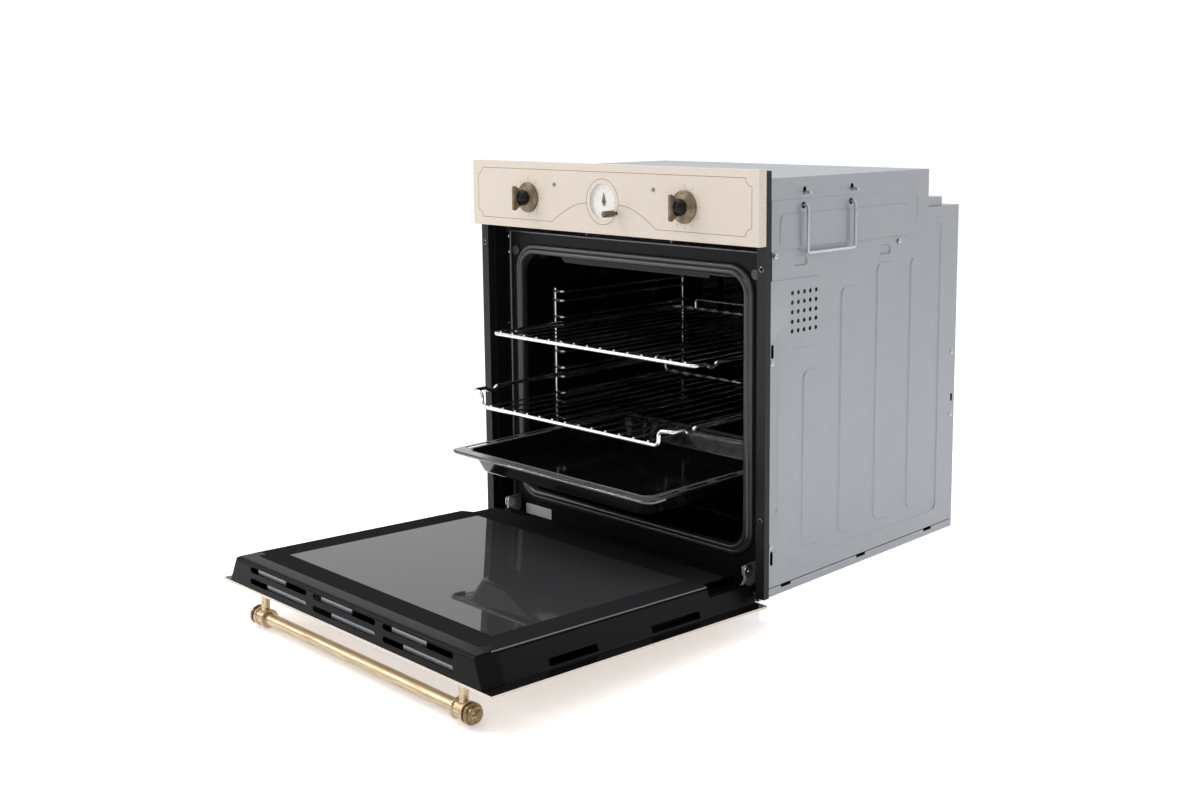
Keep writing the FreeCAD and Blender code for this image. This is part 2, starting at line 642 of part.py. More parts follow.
# Planes and places that several pieces share
cavity_half = S.cavity_width / 2
cavity_top = S.cavity_bottom + S.cavity_height
frame_back = S.frame_setback + S.frame_sheet
cavity_back = frame_back + S.cavity_depth
frame_top = cavity_top + S.frame_above
half_body = cavity_half + S.side_space
half_inside = half_body - S.sheet
half_front = half_body + S.front_overlap
body_depth = cavity_back + S.rear_space
top_depth = body_depth - S.deck_depth
panel_back = -S.trim_depth
panel_front = panel_back - S.panel_depth
panel_sheet_back = panel_front + S.panel_sheet
door_top = cavity_top + S.door_above
panel_bottom = door_top + S.panel_gap
panel_top = panel_bottom + S.panel_height
body_height = panel_top - S.top_setdown
deck_height = body_height - S.deck_drop
control_z = panel_bottom + S.control_rise
dial_face = panel_sheet_back + S.dial_recess
door_front = panel_front
pane_back = door_front + S.door_glass
door_inner = door_front + S.door_depth
glass_seat = door_inner - S.door_glass
hinge_y = door_front + S.hinge_setback
trim_top = panel_top - S.trim_top_gap
trim_inner = half_front - S.trim_width
return_inner = half_inside - S.frame_sheet
upright_x = cavity_half - S.upright_diameter / 2 - S.ladder_gap
runner_x = upright_x - S.runner_reach
rail_x = runner_x + S.shelf_outset
cap_top = door_top - S.cap_drop
cap_under = cap_top - S.cap_sheet
channel_web = pane_back + S.stile_sheet + S.channel_sheet
duct_floor = frame_top - S.bracket_sheet
hinge_side = half_body - S.hinge_inset
stile_outer = half_front - S.stile_inset
bail_hole = body_height - S.bail_hole_drop
shelf_depth = S.cavity_depth - S.shelf_slack
shelf_levels = 1 + int(float((S.cavity_height - S.level_low - S.level_headroom) / S.level_pitch))
side_screws = (
    (S.frame_screw_setback, S.frame_screw_low),
    (S.frame_screw_setback, S.frame_screw_high),
    (S.top_screw_front, body_height - S.top_screw_drop),
    (S.top_screw_front + S.top_screw_spacing, body_height - S.top_screw_drop),
    (body_depth - S.back_screw_inset, S.back_screw_low),
    (body_depth - S.back_screw_inset, S.back_screw_high),
)
blower_y = S.blower_setback + S.blower_depth / 2
blower_z = frame_top + S.blower_height / 2


def runner_height(level):
    """Returns the height of a level's lower runner wire; level 0 is the lowest."""
    return S.cavity_bottom + S.level_low + S.level_pitch * level


def open_door(item):
    """Turns a piece drawn in the closed door about the hinge axis to the open place."""
    axis_point = point_at(0, hinge_y, S.hinge_height)
    item.Placement = Placement(Vector(), Rotation(Vector(1, 0, 0), float(S.door_angle)), axis_point)
    return item


# Sheet steel body


def base_tray():
    """Base plate with notched upstands at its sides and back."""
    plate = box((-half_body, -S.base_front, 0), (half_body, body_depth, S.sheet))
    back = box((-half_body, body_depth - S.sheet, 0), (half_body, body_depth, S.base_flange))
    walls = [
        box((-half_body, 0, 0), (-half_inside, body_depth, S.base_flange)),
        box((half_inside, 0, 0), (half_body, body_depth, S.base_flange)),
    ]
    notches = [
        box((-half_front, start, S.base_flange - S.base_notch_depth),
            (half_front, start + S.base_notch_length, S.base_flange + S.sheet))
        for start in (S.base_notch_first + S.base_notch_pitch * index for index in range(BASE_NOTCHES))
    ]
    keep("base_tray", cut(fuse(plate, back, *walls), *notches))


def side_panel(name, side):
    """Stepped side panel with pressed ribs, vent holes and the carrying bail's holes."""
    body = new_body(f"{name}_side_panel")
    low_face = half_inside if side > 0 else -half_body
    outline = sketch_on(body, "side", low_face)
    add_polygon(outline, [
        (0, S.base_flange),
        (body_depth, S.base_flange),
        (body_depth, deck_height),
        (top_depth, deck_height),
        (top_depth, body_height),
        (0, body_height),
    ])
    pad(body, outline, S.sheet)
    ribs = sketch_on(body, "side", side * half_body)
    rib_heights = (S.first_rib_height, S.second_rib_height, S.tall_rib_height, S.tall_rib_height)
    for index, height in enumerate(rib_heights):
        front = S.rib_start + S.rib_pitch * index
        add_rounded(ribs, front, front + S.rib_width, S.rib_bottom, S.rib_bottom + height, S.rib_corner)
    band_top = body_height - S.band_drop
    band_rear = S.band_front + S.band_length
    add_rounded(ribs, S.band_front, band_rear, band_top - S.band_height, band_top, S.rib_corner)
    pad(body, ribs, S.rib_height, backwards=side < 0)
    holes = sketch_on(body, "side", low_face + S.sheet + S.rib_height)
    for row in range(VENT_ROWS):
        for column in range(VENT_ROWS):
            place_in_grid = (S.vent_front + S.vent_pitch * column, S.vent_low + S.vent_pitch * row)
            add_circle(holes, place_in_grid, S.vent_radius)
    for along, height in side_screws:
        add_circle(holes, (along, height), S.screw_shank_radius + S.screw_clearance)
    seat = S.bail_wire / 2 + S.bail_seat_gap
    for leg in (S.bail_front, S.bail_front + S.bail_span):
        upper = bail_hole + S.bail_hole_rise
        add_circle(holes, (leg, bail_hole - seat + S.bail_hole_radius), S.bail_hole_radius)
        add_rounded(holes, leg - S.bail_hole_radius, leg + S.bail_hole_radius,
                    upper - seat, upper + S.bail_slot_rise, S.bail_slot_corner)
    pocket(body, holes, S.sheet + S.rib_height * 2)
    keep(f"{name}_side_panel", body)


def back_panel():
    """Lower back panel with vent slots and the step's deck bent forward at its top."""
    wall = box((-half_inside, body_depth - S.sheet, S.base_flange),
               (half_inside, body_depth, deck_height))
    deck = box((-half_inside, top_depth - S.base_flange, deck_height - S.sheet),
               (half_inside, body_depth, deck_height))
    slots = []
    for row in range(BACK_SLOT_ROWS):
        low = S.back_slot_low + S.back_slot_step * row
        for column in range(BACK_SLOT_COLUMNS):
            middle = S.back_slot_pitch * (column - (BACK_SLOT_COLUMNS - 1) / 2)
            slots.append(box(
                (middle - S.back_slot_length / 2, body_depth - S.sheet * 2, low),
                (middle + S.back_slot_length / 2, body_depth + S.sheet, low + S.back_slot_height),
            ))
    keep("back_panel", cut(fuse(wall, deck), *slots))


def top_cover():
    """Top cover, bent down at its back to the step."""
    plate = box((-half_inside, 0, body_height - S.sheet), (half_inside, top_depth, body_height))
    drop = box((-half_inside, top_depth - S.sheet, deck_height), (half_inside, top_depth, body_height))
    keep("top_cover", fuse(plate, drop))


def body_screws():
    """Pan head screws along the edges of both side panels."""
    screws = []
    for _, side in SIDES:
        for along, height in side_screws:
            head = half_body if side > 0 else -half_body - S.screw_head_height
            shank = half_body - S.screw_shank_length if side > 0 else -half_body
            screws.append(fuse(
                rod("x", (head, along, height), S.screw_head_height, S.screw_head_radius),
                rod("x", (shank, along, height), S.screw_shank_length, S.screw_shank_radius),
            ))
    keep("body_screws", gather(*screws))


# Front


def front_frame():
    """Recessed face round the cavity, with side returns and fixing flanges."""
    body = new_body("front_frame_face")
    face = sketch_on(body, "front", S.frame_setback)
    add_polygon(face, [
        (-half_inside, S.sheet),
        (half_inside, S.sheet),
        (half_inside, frame_top),
        (-half_inside, frame_top),
    ])
    add_rounded(face, -cavity_half, cavity_half, S.cavity_bottom, cavity_top, S.cavity_corner)
    pad(body, face, S.frame_sheet, backwards=True)
    walls = [body]
    holes = []
    for _, side in SIDES:
        inner = return_inner if side > 0 else -half_inside
        outer = half_inside if side > 0 else -return_inner
        walls.append(box((inner, -S.frame_sheet, S.sheet), (outer, S.frame_setback, body_height - S.sheet)))
        reach = half_front - S.flange_inset
        low_x = return_inner if side > 0 else -reach
        high_x = reach if side > 0 else -return_inner
        walls.append(box((low_x, -S.frame_sheet, S.trim_bottom), (high_x, 0, trim_top)))
        for height in (S.fixing_low, S.fixing_low + S.fixing_spacing):
            middle = side * (half_front - S.fixing_inset)
            holes.append(rod("y", (middle, -S.trim_depth, height), S.trim_depth + S.sheet, S.fixing_radius))
        for height in (S.frame_screw_low, S.frame_screw_high):
            start = half_body - S.screw_shank_length if side > 0 else -half_body
            holes.append(rod("x", (start - S.sheet, S.frame_screw_setback, height),
                             S.screw_shank_length + S.sheet * 2, S.screw_shank_radius + S.screw_clearance))
        arm_room = S.arm_sheet / 2 + S.receiver_gap
        holes.append(box(
            (side * hinge_side - arm_room, S.frame_setback - S.sheet, S.arm_bottom - S.receiver_gap),
            (side * hinge_side + arm_room, frame_back + S.sheet, S.arm_top + S.receiver_gap),
        ))
    keep("front_frame", cut(fuse(*walls), *holes))


def side_trim(name, side):
    """Black channel section trim with the fixing screw holes."""
    body = new_body(f"{name}_side_trim")
    profile = sketch_on(body, "top", S.trim_bottom)
    outer = side * half_front
    inner = side * trim_inner
    wall = side * S.frame_sheet
    add_polygon(profile, [
        (outer, -S.trim_depth),
        (outer, -S.frame_sheet),
        (outer - wall, -S.frame_sheet),
        (outer - wall, S.frame_sheet - S.trim_depth),
        (inner + wall, S.frame_sheet - S.trim_depth),
        (inner + wall, -S.frame_sheet),
        (inner, -S.frame_sheet),
        (inner, -S.trim_depth),
    ])
    pad(body, profile, trim_top - S.trim_bottom)
    holes = sketch_on(body, "front", -S.trim_depth)
    for height in (S.fixing_low, S.fixing_low + S.fixing_spacing):
        add_circle(holes, (side * (half_front - S.fixing_inset), height), S.fixing_radius)
    pocket(body, holes, S.frame_sheet * 2)
    keep(f"{name}_side_trim", body)


def door_seal():
    """Rubber ring on the recessed face, round the cavity's opening."""
    body = new_body("door_seal")
    front = door_inner + S.seal_gap
    half = cavity_half + S.seal_side
    low = S.cavity_bottom - S.seal_ends
    high = cavity_top + S.seal_ends
    ring = sketch_on(body, "front", front)
    add_rounded(ring, -half, half, low, high, S.seal_corner)
    add_rounded(ring, S.seal_band - half, half - S.seal_band, low + S.seal_band, high - S.seal_band,
                S.seal_corner - S.seal_band)
    pad(body, ring, S.frame_setback - front, backwards=True)
    keep("door_seal", body)


# Cavity


def oven_cavity():
    """Enamelled box with round corners, open at the front."""
    body = new_body("oven_cavity")
    shell = sketch_on(body, "front", frame_back)
    add_rounded(shell, -cavity_half - S.cavity_wall, cavity_half + S.cavity_wall,
                S.cavity_bottom - S.cavity_wall, cavity_top + S.cavity_wall, S.cavity_corner + S.cavity_wall)
    pad(body, shell, S.cavity_depth + S.cavity_wall, backwards=True)
    inside = sketch_on(body, "front", frame_back)
    add_rounded(inside, -cavity_half, cavity_half, S.cavity_bottom, cavity_top, S.cavity_corner)
    pocket(body, inside, S.cavity_depth)
    holes = sketch_on(body, "front", frame_back)
    for lead in (-S.heater_lead, S.heater_lead):
        add_circle(holes, (lead, cavity_top - S.grill_drop), S.heater_diameter / 2 + S.heater_gap)
    add_circle(holes, (S.lamp_side, cavity_top - S.lamp_drop), S.bulb_radius + S.bulb_clearance)
    pocket(body, holes, S.cavity_depth + S.cavity_wall * 2)
    keep("oven_cavity", body)


def lower_heater_height():
    """Returns the height of the heater under the cavity's floor."""
    return S.cavity_bottom - S.cavity_wall - S.heater_gap - S.heater_diameter / 2


def insulation_blanket():
    """Mineral wool wrap round the cavity, open at the front."""
    inner_half = cavity_half + S.cavity_wall + S.wrap_gap
    floor = S.cavity_bottom - S.cavity_wall - S.heater_space
    ceiling = cavity_top + S.cavity_wall + S.wrap_gap
    back = cavity_back + S.cavity_wall + S.wrap_gap
    outer_half = half_body - S.wrap_side_gap
    outside = box((-outer_half, frame_back, floor - S.wrap_floor),
                  (outer_half, back + S.wrap_back, ceiling + S.wrap_top))
    inside = box((-inner_half, frame_back - S.sheet, floor), (inner_half, back, ceiling))
    through = S.wrap_back + S.sheet * 2
    holes = [
        rod("y", (lead, back - S.sheet, height), through, S.heater_diameter / 2 + S.heater_gap)
        for lead in (-S.heater_lead, S.heater_lead)
        for height in (cavity_top - S.grill_drop, lower_heater_height())
    ]
    holes.append(rod("y", (S.lamp_side, back - S.sheet, cavity_top - S.lamp_drop), through,
                     S.lamp_radius + S.wrap_gap))
    keep("insulation_blanket", cut(outside, inside, *holes))


def heater(label, height):
    """Tubular heater with four runs and two leads through the back."""
    front = frame_back + S.heater_front
    rear = cavity_back - S.heater_rear
    middle = rear - S.heater_rear
    tail = cavity_back + S.heater_tail
    left_half = [
        (-S.heater_lead, tail), (-S.heater_lead, rear), (-S.heater_half, rear), (-S.heater_half, front),
        (-S.heater_inner, front), (-S.heater_inner, middle),
    ]
    right_half = [(-across, along) for across, along in reversed(left_half)]
    points = [point_at(across, along, height) for across, along in left_half + right_half]
    keep(label, feature(bent_wire(points, S.heater_diameter, S.heater_bend)))


def grill_shield():
    """Plate with slanted ends under the ceiling, in front of the grill heater."""
    body = new_body("grill_shield")
    low = cavity_top - S.shield_height
    outline = sketch_on(body, "front", frame_back + S.shield_setback)
    add_polygon(outline, [
        (S.shield_cut - S.shield_half, low),
        (S.shield_half - S.shield_cut, low),
        (S.shield_half, cavity_top),
        (-S.shield_half, cavity_top),
    ])
    pad(body, outline, S.cavity_wall, backwards=True)
    keep("grill_shield", body)


def lamp():
    """Lamp holder behind the back wall, its bulb, and the glass cover inside."""
    height = cavity_top - S.lamp_drop
    wall_back = cavity_back + S.cavity_wall
    front = cavity_back - S.lamp_proud
    socket = rod("y", (S.lamp_side, wall_back, height), S.lamp_holder_length, S.lamp_radius)
    room = rod("y", (S.lamp_side, wall_back - S.sheet, height), S.lamp_holder_length - S.sheet,
               S.bulb_radius + S.bulb_clearance)
    keep("lamp_holder", cut(socket, room))
    bulb_front = front + S.lamp_glass + S.bulb_clearance
    bulb_back = wall_back + S.lamp_holder_length - S.sheet * 2
    nose = S.bulb_radius / 2
    keep("lamp_bulb", fuse(
        cone((S.lamp_side, bulb_front, height), nose, S.bulb_radius / 2, S.bulb_radius),
        rod("y", (S.lamp_side, bulb_front + nose, height), bulb_back - bulb_front - nose, S.bulb_radius),
    ))
    cover = cone((S.lamp_side, front, height), S.lamp_proud, S.lamp_radius - S.lamp_glass, S.lamp_radius)
    hollow = rod("y", (S.lamp_side, front + S.lamp_glass, height), S.lamp_proud,
                 S.lamp_radius - S.lamp_glass * 2)
    keep("lamp_lens", cut(cover, hollow))


def thermostat_bulb():
    """Sensing bulb of the thermostat, in two clips on the back wall."""
    height = cavity_top - S.probe_drop
    along = cavity_back - S.probe_standoff
    probe = rod("x", (-S.probe_length / 2, along, height), S.probe_length, S.probe_radius)
    clips = []
    for middle in (-S.probe_length / 4, S.probe_length / 4):
        clips.append(box((middle - S.probe_radius, along, height - S.probe_radius / 2),
                         (middle + S.probe_radius, cavity_back, height + S.probe_radius / 2)))
    keep("thermostat_bulb", fuse(probe, *clips))


def shelf_ladder(name, side):
    """Wire ladder with two runner wires on each level."""
    front = frame_back + S.ladder_setback
    rear = cavity_back - S.ladder_rear
    bottom = runner_height(0) - S.runner_diameter
    top = runner_height(shelf_levels - 1) + S.level_gap + S.runner_diameter
    wires = []
    for along in (front, rear):
        wires.append(straight_wire(point_at(side * upright_x, along, bottom),
                                   point_at(side * upright_x, along, top), S.upright_diameter))
    for level in range(shelf_levels):
        for height in (runner_height(level), runner_height(level) + S.level_gap):
            wires.append(bent_wire([
                point_at(side * upright_x, front, height),
                point_at(side * runner_x, front, height),
                point_at(side * runner_x, rear, height),
                point_at(side * upright_x, rear, height),
            ], S.runner_diameter, S.runner_bend))
    keep(f"{name}_shelf_ladder", feature(wires[0].multiFuse(wires[1:])))


# Shelves and tray


def mirrored_wire(points, diameter, bends):
    """Returns a wire frame from its left half, which starts and ends on the middle plane."""
    left = bent_wire(points, diameter, bends)
    return left.fuse(left.mirror(Vector(), Vector(1, 0, 0))).removeSplitter()


def shelf_front(drawn_out):
    """Returns the front of a shelf that is drawn out by a distance."""
    return door_inner + S.shelf_home - drawn_out


def notched_rail(front, height):
    """Returns the points and bends of a left side rail's notch, from back to front."""
    low = height - S.notch_depth
    start = front + S.notch_start
    end = start + S.notch_length
    lean = S.notch_depth
    points = [
        point_at(-rail_x, end, height),
        point_at(-rail_x, end - lean, low),
        point_at(-rail_x, start + lean, low),
        point_at(-rail_x, start, height),
    ]
    return points, [S.notch_bend] * len(points)


def fine_bars(front, height, half):
    """Returns the fine bars of a shelf, evenly spread about its middle."""
    count = int(float(half) / float(S.shelf_pitch))
    level = height + S.shelf_wire / 2 + S.shelf_bar / 2 - S.shelf_overlap
    rear = front + shelf_depth
    return [
        straight_wire(point_at(S.shelf_pitch * index, front, level),
                      point_at(S.shelf_pitch * index, rear, level), S.shelf_bar)
        for index in range(-count, count + 1)
    ]


def upper_shelf():
    """Flat wire shelf with a raised guard along its back."""
    height = runner_height(shelf_levels - 2) + S.runner_diameter / 2 + S.slide_gap + S.shelf_wire / 2
    front = shelf_front(S.upper_out)
    rear = front + shelf_depth
    notch, notch_bends = notched_rail(front, height)
    points = [point_at(0, rear, height), point_at(-rail_x, rear, height)]
    points += notch
    points += [point_at(-rail_x, front, height), point_at(0, front, height)]
    frame = mirrored_wire(points, S.shelf_wire, [S.shelf_bend] + notch_bends + [S.shelf_bend])
    top = height + S.guard_height
    guard = mirrored_wire([
        point_at(0, rear, top), point_at(-S.guard_half, rear, top), point_at(-S.guard_half, rear, height),
    ], S.guard_wire, S.notch_bend)
    bars = fine_bars(front, height, rail_x - S.shelf_wire)
    keep("upper_shelf", feature(frame.multiFuse([guard] + bars)))


def lower_shelf():
    """Wire shelf whose bars hang below its side rails."""
    rail = runner_height(LOWER_SHELF_LEVEL) + S.runner_diameter / 2 + S.slide_gap + S.shelf_wire / 2
    floor = rail - S.lower_drop
    front = shelf_front(S.lower_out)
    rear = front + shelf_depth
    inner = rail_x - S.lower_inset
    notch, notch_bends = notched_rail(front, rail)
    points = [
        point_at(0, rear, floor),
        point_at(-inner, rear, floor),
        point_at(-inner, rear, rail),
        point_at(-rail_x, rear, rail),
    ]
    points += notch
    points += [
        point_at(-rail_x, front, rail),
        point_at(-inner, front, rail),
        point_at(-inner, front, floor),
        point_at(0, front, floor),
    ]
    bends = [S.shelf_bend] * 3 + notch_bends + [S.shelf_bend] * 3
    frame = mirrored_wire(points, S.shelf_wire, bends)
    bars = fine_bars(front, floor, inner - S.shelf_bend)
    keep("lower_shelf", feature(frame.multiFuse(bars)))


def baking_tray():
    """Pressed tray with leaning walls and a flat rim that rides on the runners."""
    body = new_body("baking_tray")
    rim_low = runner_height(TRAY_LEVEL) + S.runner_diameter / 2 + S.slide_gap
    rim_high = rim_low + S.tray_sheet
    front = door_inner + S.tray_home - S.tray_out
    rear = front + S.cavity_depth - S.tray_slack
    half = runner_x + S.tray_overlap
    rim = sketch_on(body, "top", rim_low)
    add_rounded(rim, -half, half, front, rear, S.tray_corner)
    pad(body, rim, S.tray_sheet)
    well_half = half - S.tray_rim_side
    well_front = front + S.tray_rim_end
    well_rear = rear - S.tray_rim_end
    floor = rim_high - S.tray_height

    def well(height, lean, wall):
        """Draws one level of the tray's well."""
        level = sketch_on(body, "top", height)
        inset = lean + wall
        add_rounded(level, inset - well_half, well_half - inset, well_front + inset, well_rear - inset,
                    S.tray_corner - wall)
        return level

    document.recompute()
    loft(body, "Additive", well(rim_high, 0, 0), well(floor, S.tray_slope, 0))
    document.recompute()
    loft(body, "Subtractive", well(rim_high, 0, S.tray_sheet),
         well(floor + S.tray_sheet, S.tray_slope, S.tray_sheet))
    document.recompute()
    slots = sketch_on(body, "top", rim_high)
    middle = half - S.tray_rim_side / 2
    for side in (-1, 1):
        west = side * middle - S.tray_slot_width / 2
        for step in range(TRAY_SLOTS):
            south = front + S.tray_slot_start + S.tray_slot_step * step
            add_rounded(slots, west, west + S.tray_slot_width, south, south + S.tray_slot_length,
                        S.tray_slot_corner)
    pocket(body, slots, S.tray_sheet * 2)
    keep("baking_tray", body)


# Controls


def control_panel():
    """Hollow control panel with holes for the dial, spindles and pilot lenses."""
    body = new_body("control_panel")
    outline = sketch_on(body, "front", panel_front)
    add_polygon(outline, [
        (-half_front, panel_bottom),
        (half_front, panel_bottom),
        (half_front, panel_top),
        (-half_front, panel_top),
    ])
    pad(body, outline, S.panel_depth, backwards=True)
    holes = sketch_on(body, "front", panel_front)
    add_circle(holes, (0, control_z), S.dial_radius)
    add_circle(holes, (S.setter_side, control_z - S.setter_drop), S.setter_hole)
    for side in (-1, 1):
        add_circle(holes, (side * S.knob_spread, control_z), S.knob_hole)
        lens = (side * S.pilot_spread, panel_bottom + S.pilot_rise)
        add_circle(holes, lens, S.pilot_radius + S.pilot_gap)
    pocket(body, holes, S.panel_depth)
    hollow = box((S.panel_sheet - half_front, panel_sheet_back, panel_bottom + S.panel_sheet),
                 (half_front - S.panel_sheet, panel_back + S.sheet, panel_top - S.panel_sheet))
    body.Label = "control_panel_face"
    keep("control_panel", cut(body, hollow))


def panel_bracket():
    """Steel plate behind the control panel that carries the switches and the timer."""
    half = return_inner - S.bracket_gap
    plate = box((-half, 0, panel_bottom + S.panel_sheet), (half, S.bracket_sheet, body_height - S.sheet * 2))
    through = S.bracket_sheet + S.sheet * 2
    holes = [
        rod("y", (side * S.knob_spread, -S.sheet, control_z), through, S.bush_radius + S.bracket_gap)
        for side in (-1, 1)
    ]
    keep("panel_bracket", cut(plate, *holes))


def switch(label, side, round_body):
    """Rotary switch on the bracket, with a bush that carries the knob's spindle."""
    middle = side * S.knob_spread
    half = S.switch_width / 2
    front = S.bracket_sheet
    if round_body:
        case = rod("y", (middle, front, control_z), S.switch_depth, half)
    else:
        case = box((middle - half, front, control_z - half),
                   (middle + half, front + S.switch_depth, control_z + half))
    bush = rod("y", (middle, -S.bush_radius, control_z), S.bush_radius + front, S.bush_radius)
    bore = rod("y", (middle, -S.bush_radius - S.sheet, control_z),
               S.bush_radius + S.spindle_depth + S.sheet * 2, S.spindle_radius + S.running_clearance)
    keep(label, cut(fuse(case, bush), bore))


def grip_wing(name, middle):
    """Flat grip wing, whose back slopes from its ends to a narrow root in the skirt."""
    body = new_body(name)
    front = panel_front - S.knob_height
    back = panel_front - S.knob_gap - S.knob_skirt_height + S.knob_rim
    half = S.wing_length / 2
    tip_back = front + S.wing_tip
    root_front = tip_back + half - S.wing_root
    upper_half = [
        (front, half - S.wing_bevel),
        (front + S.wing_bevel, half),
        (tip_back, half),
        (root_front, S.wing_root),
        (back, S.wing_root),
    ]
    outline = sketch_on(body, "side", middle - S.wing_width / 2)
    points = [(along, control_z + rise) for along, rise in upper_half]
    points += [(along, control_z - rise) for along, rise in reversed(upper_half)]
    add_polygon(outline, points)
    pad(body, outline, S.wing_width)
    return body


def knob(name, side):
    """Rotary knob with its spindle, and the black boss on both sides of its wing."""
    middle = side * S.knob_spread
    foot = panel_front - S.knob_gap
    front = foot - S.knob_skirt_height
    wing = grip_wing(f"{name}_wing", middle)
    rim = rod("y", (middle, foot - S.knob_rim, control_z), S.knob_rim, S.knob_skirt_radius)
    skirt = cone((middle, front, control_z), S.knob_skirt_height - S.knob_rim,
                 S.knob_neck_radius, S.knob_skirt_radius)
    spindle = rod("y", (middle, foot - S.knob_rim, control_z), S.spindle_depth + S.knob_rim - foot,
                  S.spindle_radius)
    keep(name, fuse(rim, skirt, wing, spindle))
    boss = flat_ball((middle, front, control_z), S.boss_radius, S.boss_height)
    half_wing = S.wing_width / 2
    wing_room = box((middle - half_wing, front - S.knob_height, control_z - S.wing_length),
                    (middle + half_wing, front + S.knob_height, control_z + S.wing_length))
    behind = box((middle - S.boss_radius * 2, front, control_z - S.boss_radius * 2),
                 (middle + S.boss_radius * 2, front + S.boss_radius * 2, control_z + S.boss_radius * 2))
    keep(f"{name}_cap", cut(boss, wing_room, behind))


def timer():
    """Timer with a dished dial, a spade hand on its arbor and a setting knob."""
    setter = (S.setter_side, control_z - S.setter_drop)
    dial_back = dial_face + S.dial_sheet
    rim_radius = S.dial_radius + S.dial_lip
    arbor_bore = S.arbor_radius + S.running_clearance
    dish = cut(
        rod("y", (0, panel_sheet_back, control_z), S.dial_recess + S.dial_sheet, rim_radius),
        rod("y", (0, panel_sheet_back - S.sheet, control_z), S.dial_recess + S.sheet, S.dial_radius),
        rod("y", (0, dial_face - S.sheet, control_z), S.dial_sheet + S.sheet * 2, arbor_bore),
    )
    keep("timer_dial", dish)
    case = fuse(
        rod("y", (0, dial_back, control_z), -dial_back, rim_radius),
        rod("y", (setter[0], dial_back, setter[1]), -dial_back, S.setter_lobe),
    )
    bores = (
        rod("y", (0, dial_back - S.sheet, control_z), -dial_back, arbor_bore),
        rod("y", (setter[0], dial_back - S.sheet, setter[1]), -dial_back,
            S.setter_stem_radius + S.running_clearance),
    )
    keep("timer_case", cut(case, *bores))
    hand_back = dial_face - S.hand_gap
    hand_front = hand_back - S.hand_sheet
    body = new_body("timer_hand_blade")
    blade = sketch_on(body, "front", hand_front)
    tail = S.hand_width / 2
    add_polygon(blade, [
        (0, control_z - S.hand_width),
        (tail, control_z),
        (tail / 3, control_z + S.hand_width),
        (0, control_z + S.hand_length),
        (-tail / 3, control_z + S.hand_width),
        (-tail, control_z),
    ])
    pad(body, blade, S.hand_sheet, backwards=True)
    reach = (dial_back - hand_back) * 2
    arbor = rod("y", (0, hand_back - S.hand_sheet / 2, control_z), reach, S.arbor_radius)
    keep("timer_hand", fuse(body, arbor))
    grip_back = panel_front - S.setter_stem_length
    grip_front = grip_back - S.setter_length
    nose = S.setter_radius / 3
    keep("timer_knob", fuse(
        rod("y", (setter[0], grip_back - nose, setter[1]), dial_back / 2 - grip_back + nose,
            S.setter_stem_radius),
        cone((setter[0], grip_front, setter[1]), nose, S.setter_radius - nose, S.setter_radius),
        rod("y", (setter[0], grip_front + nose, setter[1]), S.setter_length - nose * 2, S.setter_radius),
        cone((setter[0], grip_back - nose, setter[1]), nose, S.setter_radius, S.setter_radius - nose),
    ))


def pilot_lenses():
    """Two pilot lamp lenses, held by collars behind the panel's sheet."""
    lenses = []
    for side in (-1, 1):
        start = (side * S.pilot_spread, panel_front - S.pilot_proud, panel_bottom + S.pilot_rise)
        collar = (start[0], panel_sheet_back, start[2])
        lenses.append(fuse(
            rod("y", start, S.panel_sheet + S.pilot_proud + S.pilot_lip, S.pilot_radius),
            rod("y", collar, S.pilot_lip, S.pilot_radius + S.pilot_lip),
        ))
    keep("pilot_lenses", gather(*lenses))


# Cooling blower and mains connection


def air_channel():
    """Plate over the insulation, with the cooling air's duct to the front."""
    half = half_inside - S.bracket_gap
    plate = box((-half, frame_back, duct_floor), (half, top_depth - S.sheet * 2, frame_top))
    top = frame_top + S.duct_height
    outer = box((-S.duct_half, frame_back, frame_top), (S.duct_half, S.blower_setback, top))
    inner = box((S.bracket_sheet - S.duct_half, frame_back - S.sheet, frame_top),
                (S.duct_half - S.bracket_sheet, S.blower_setback + S.sheet, top - S.bracket_sheet))
    keep("air_channel", fuse(plate, cut(outer, inner)))


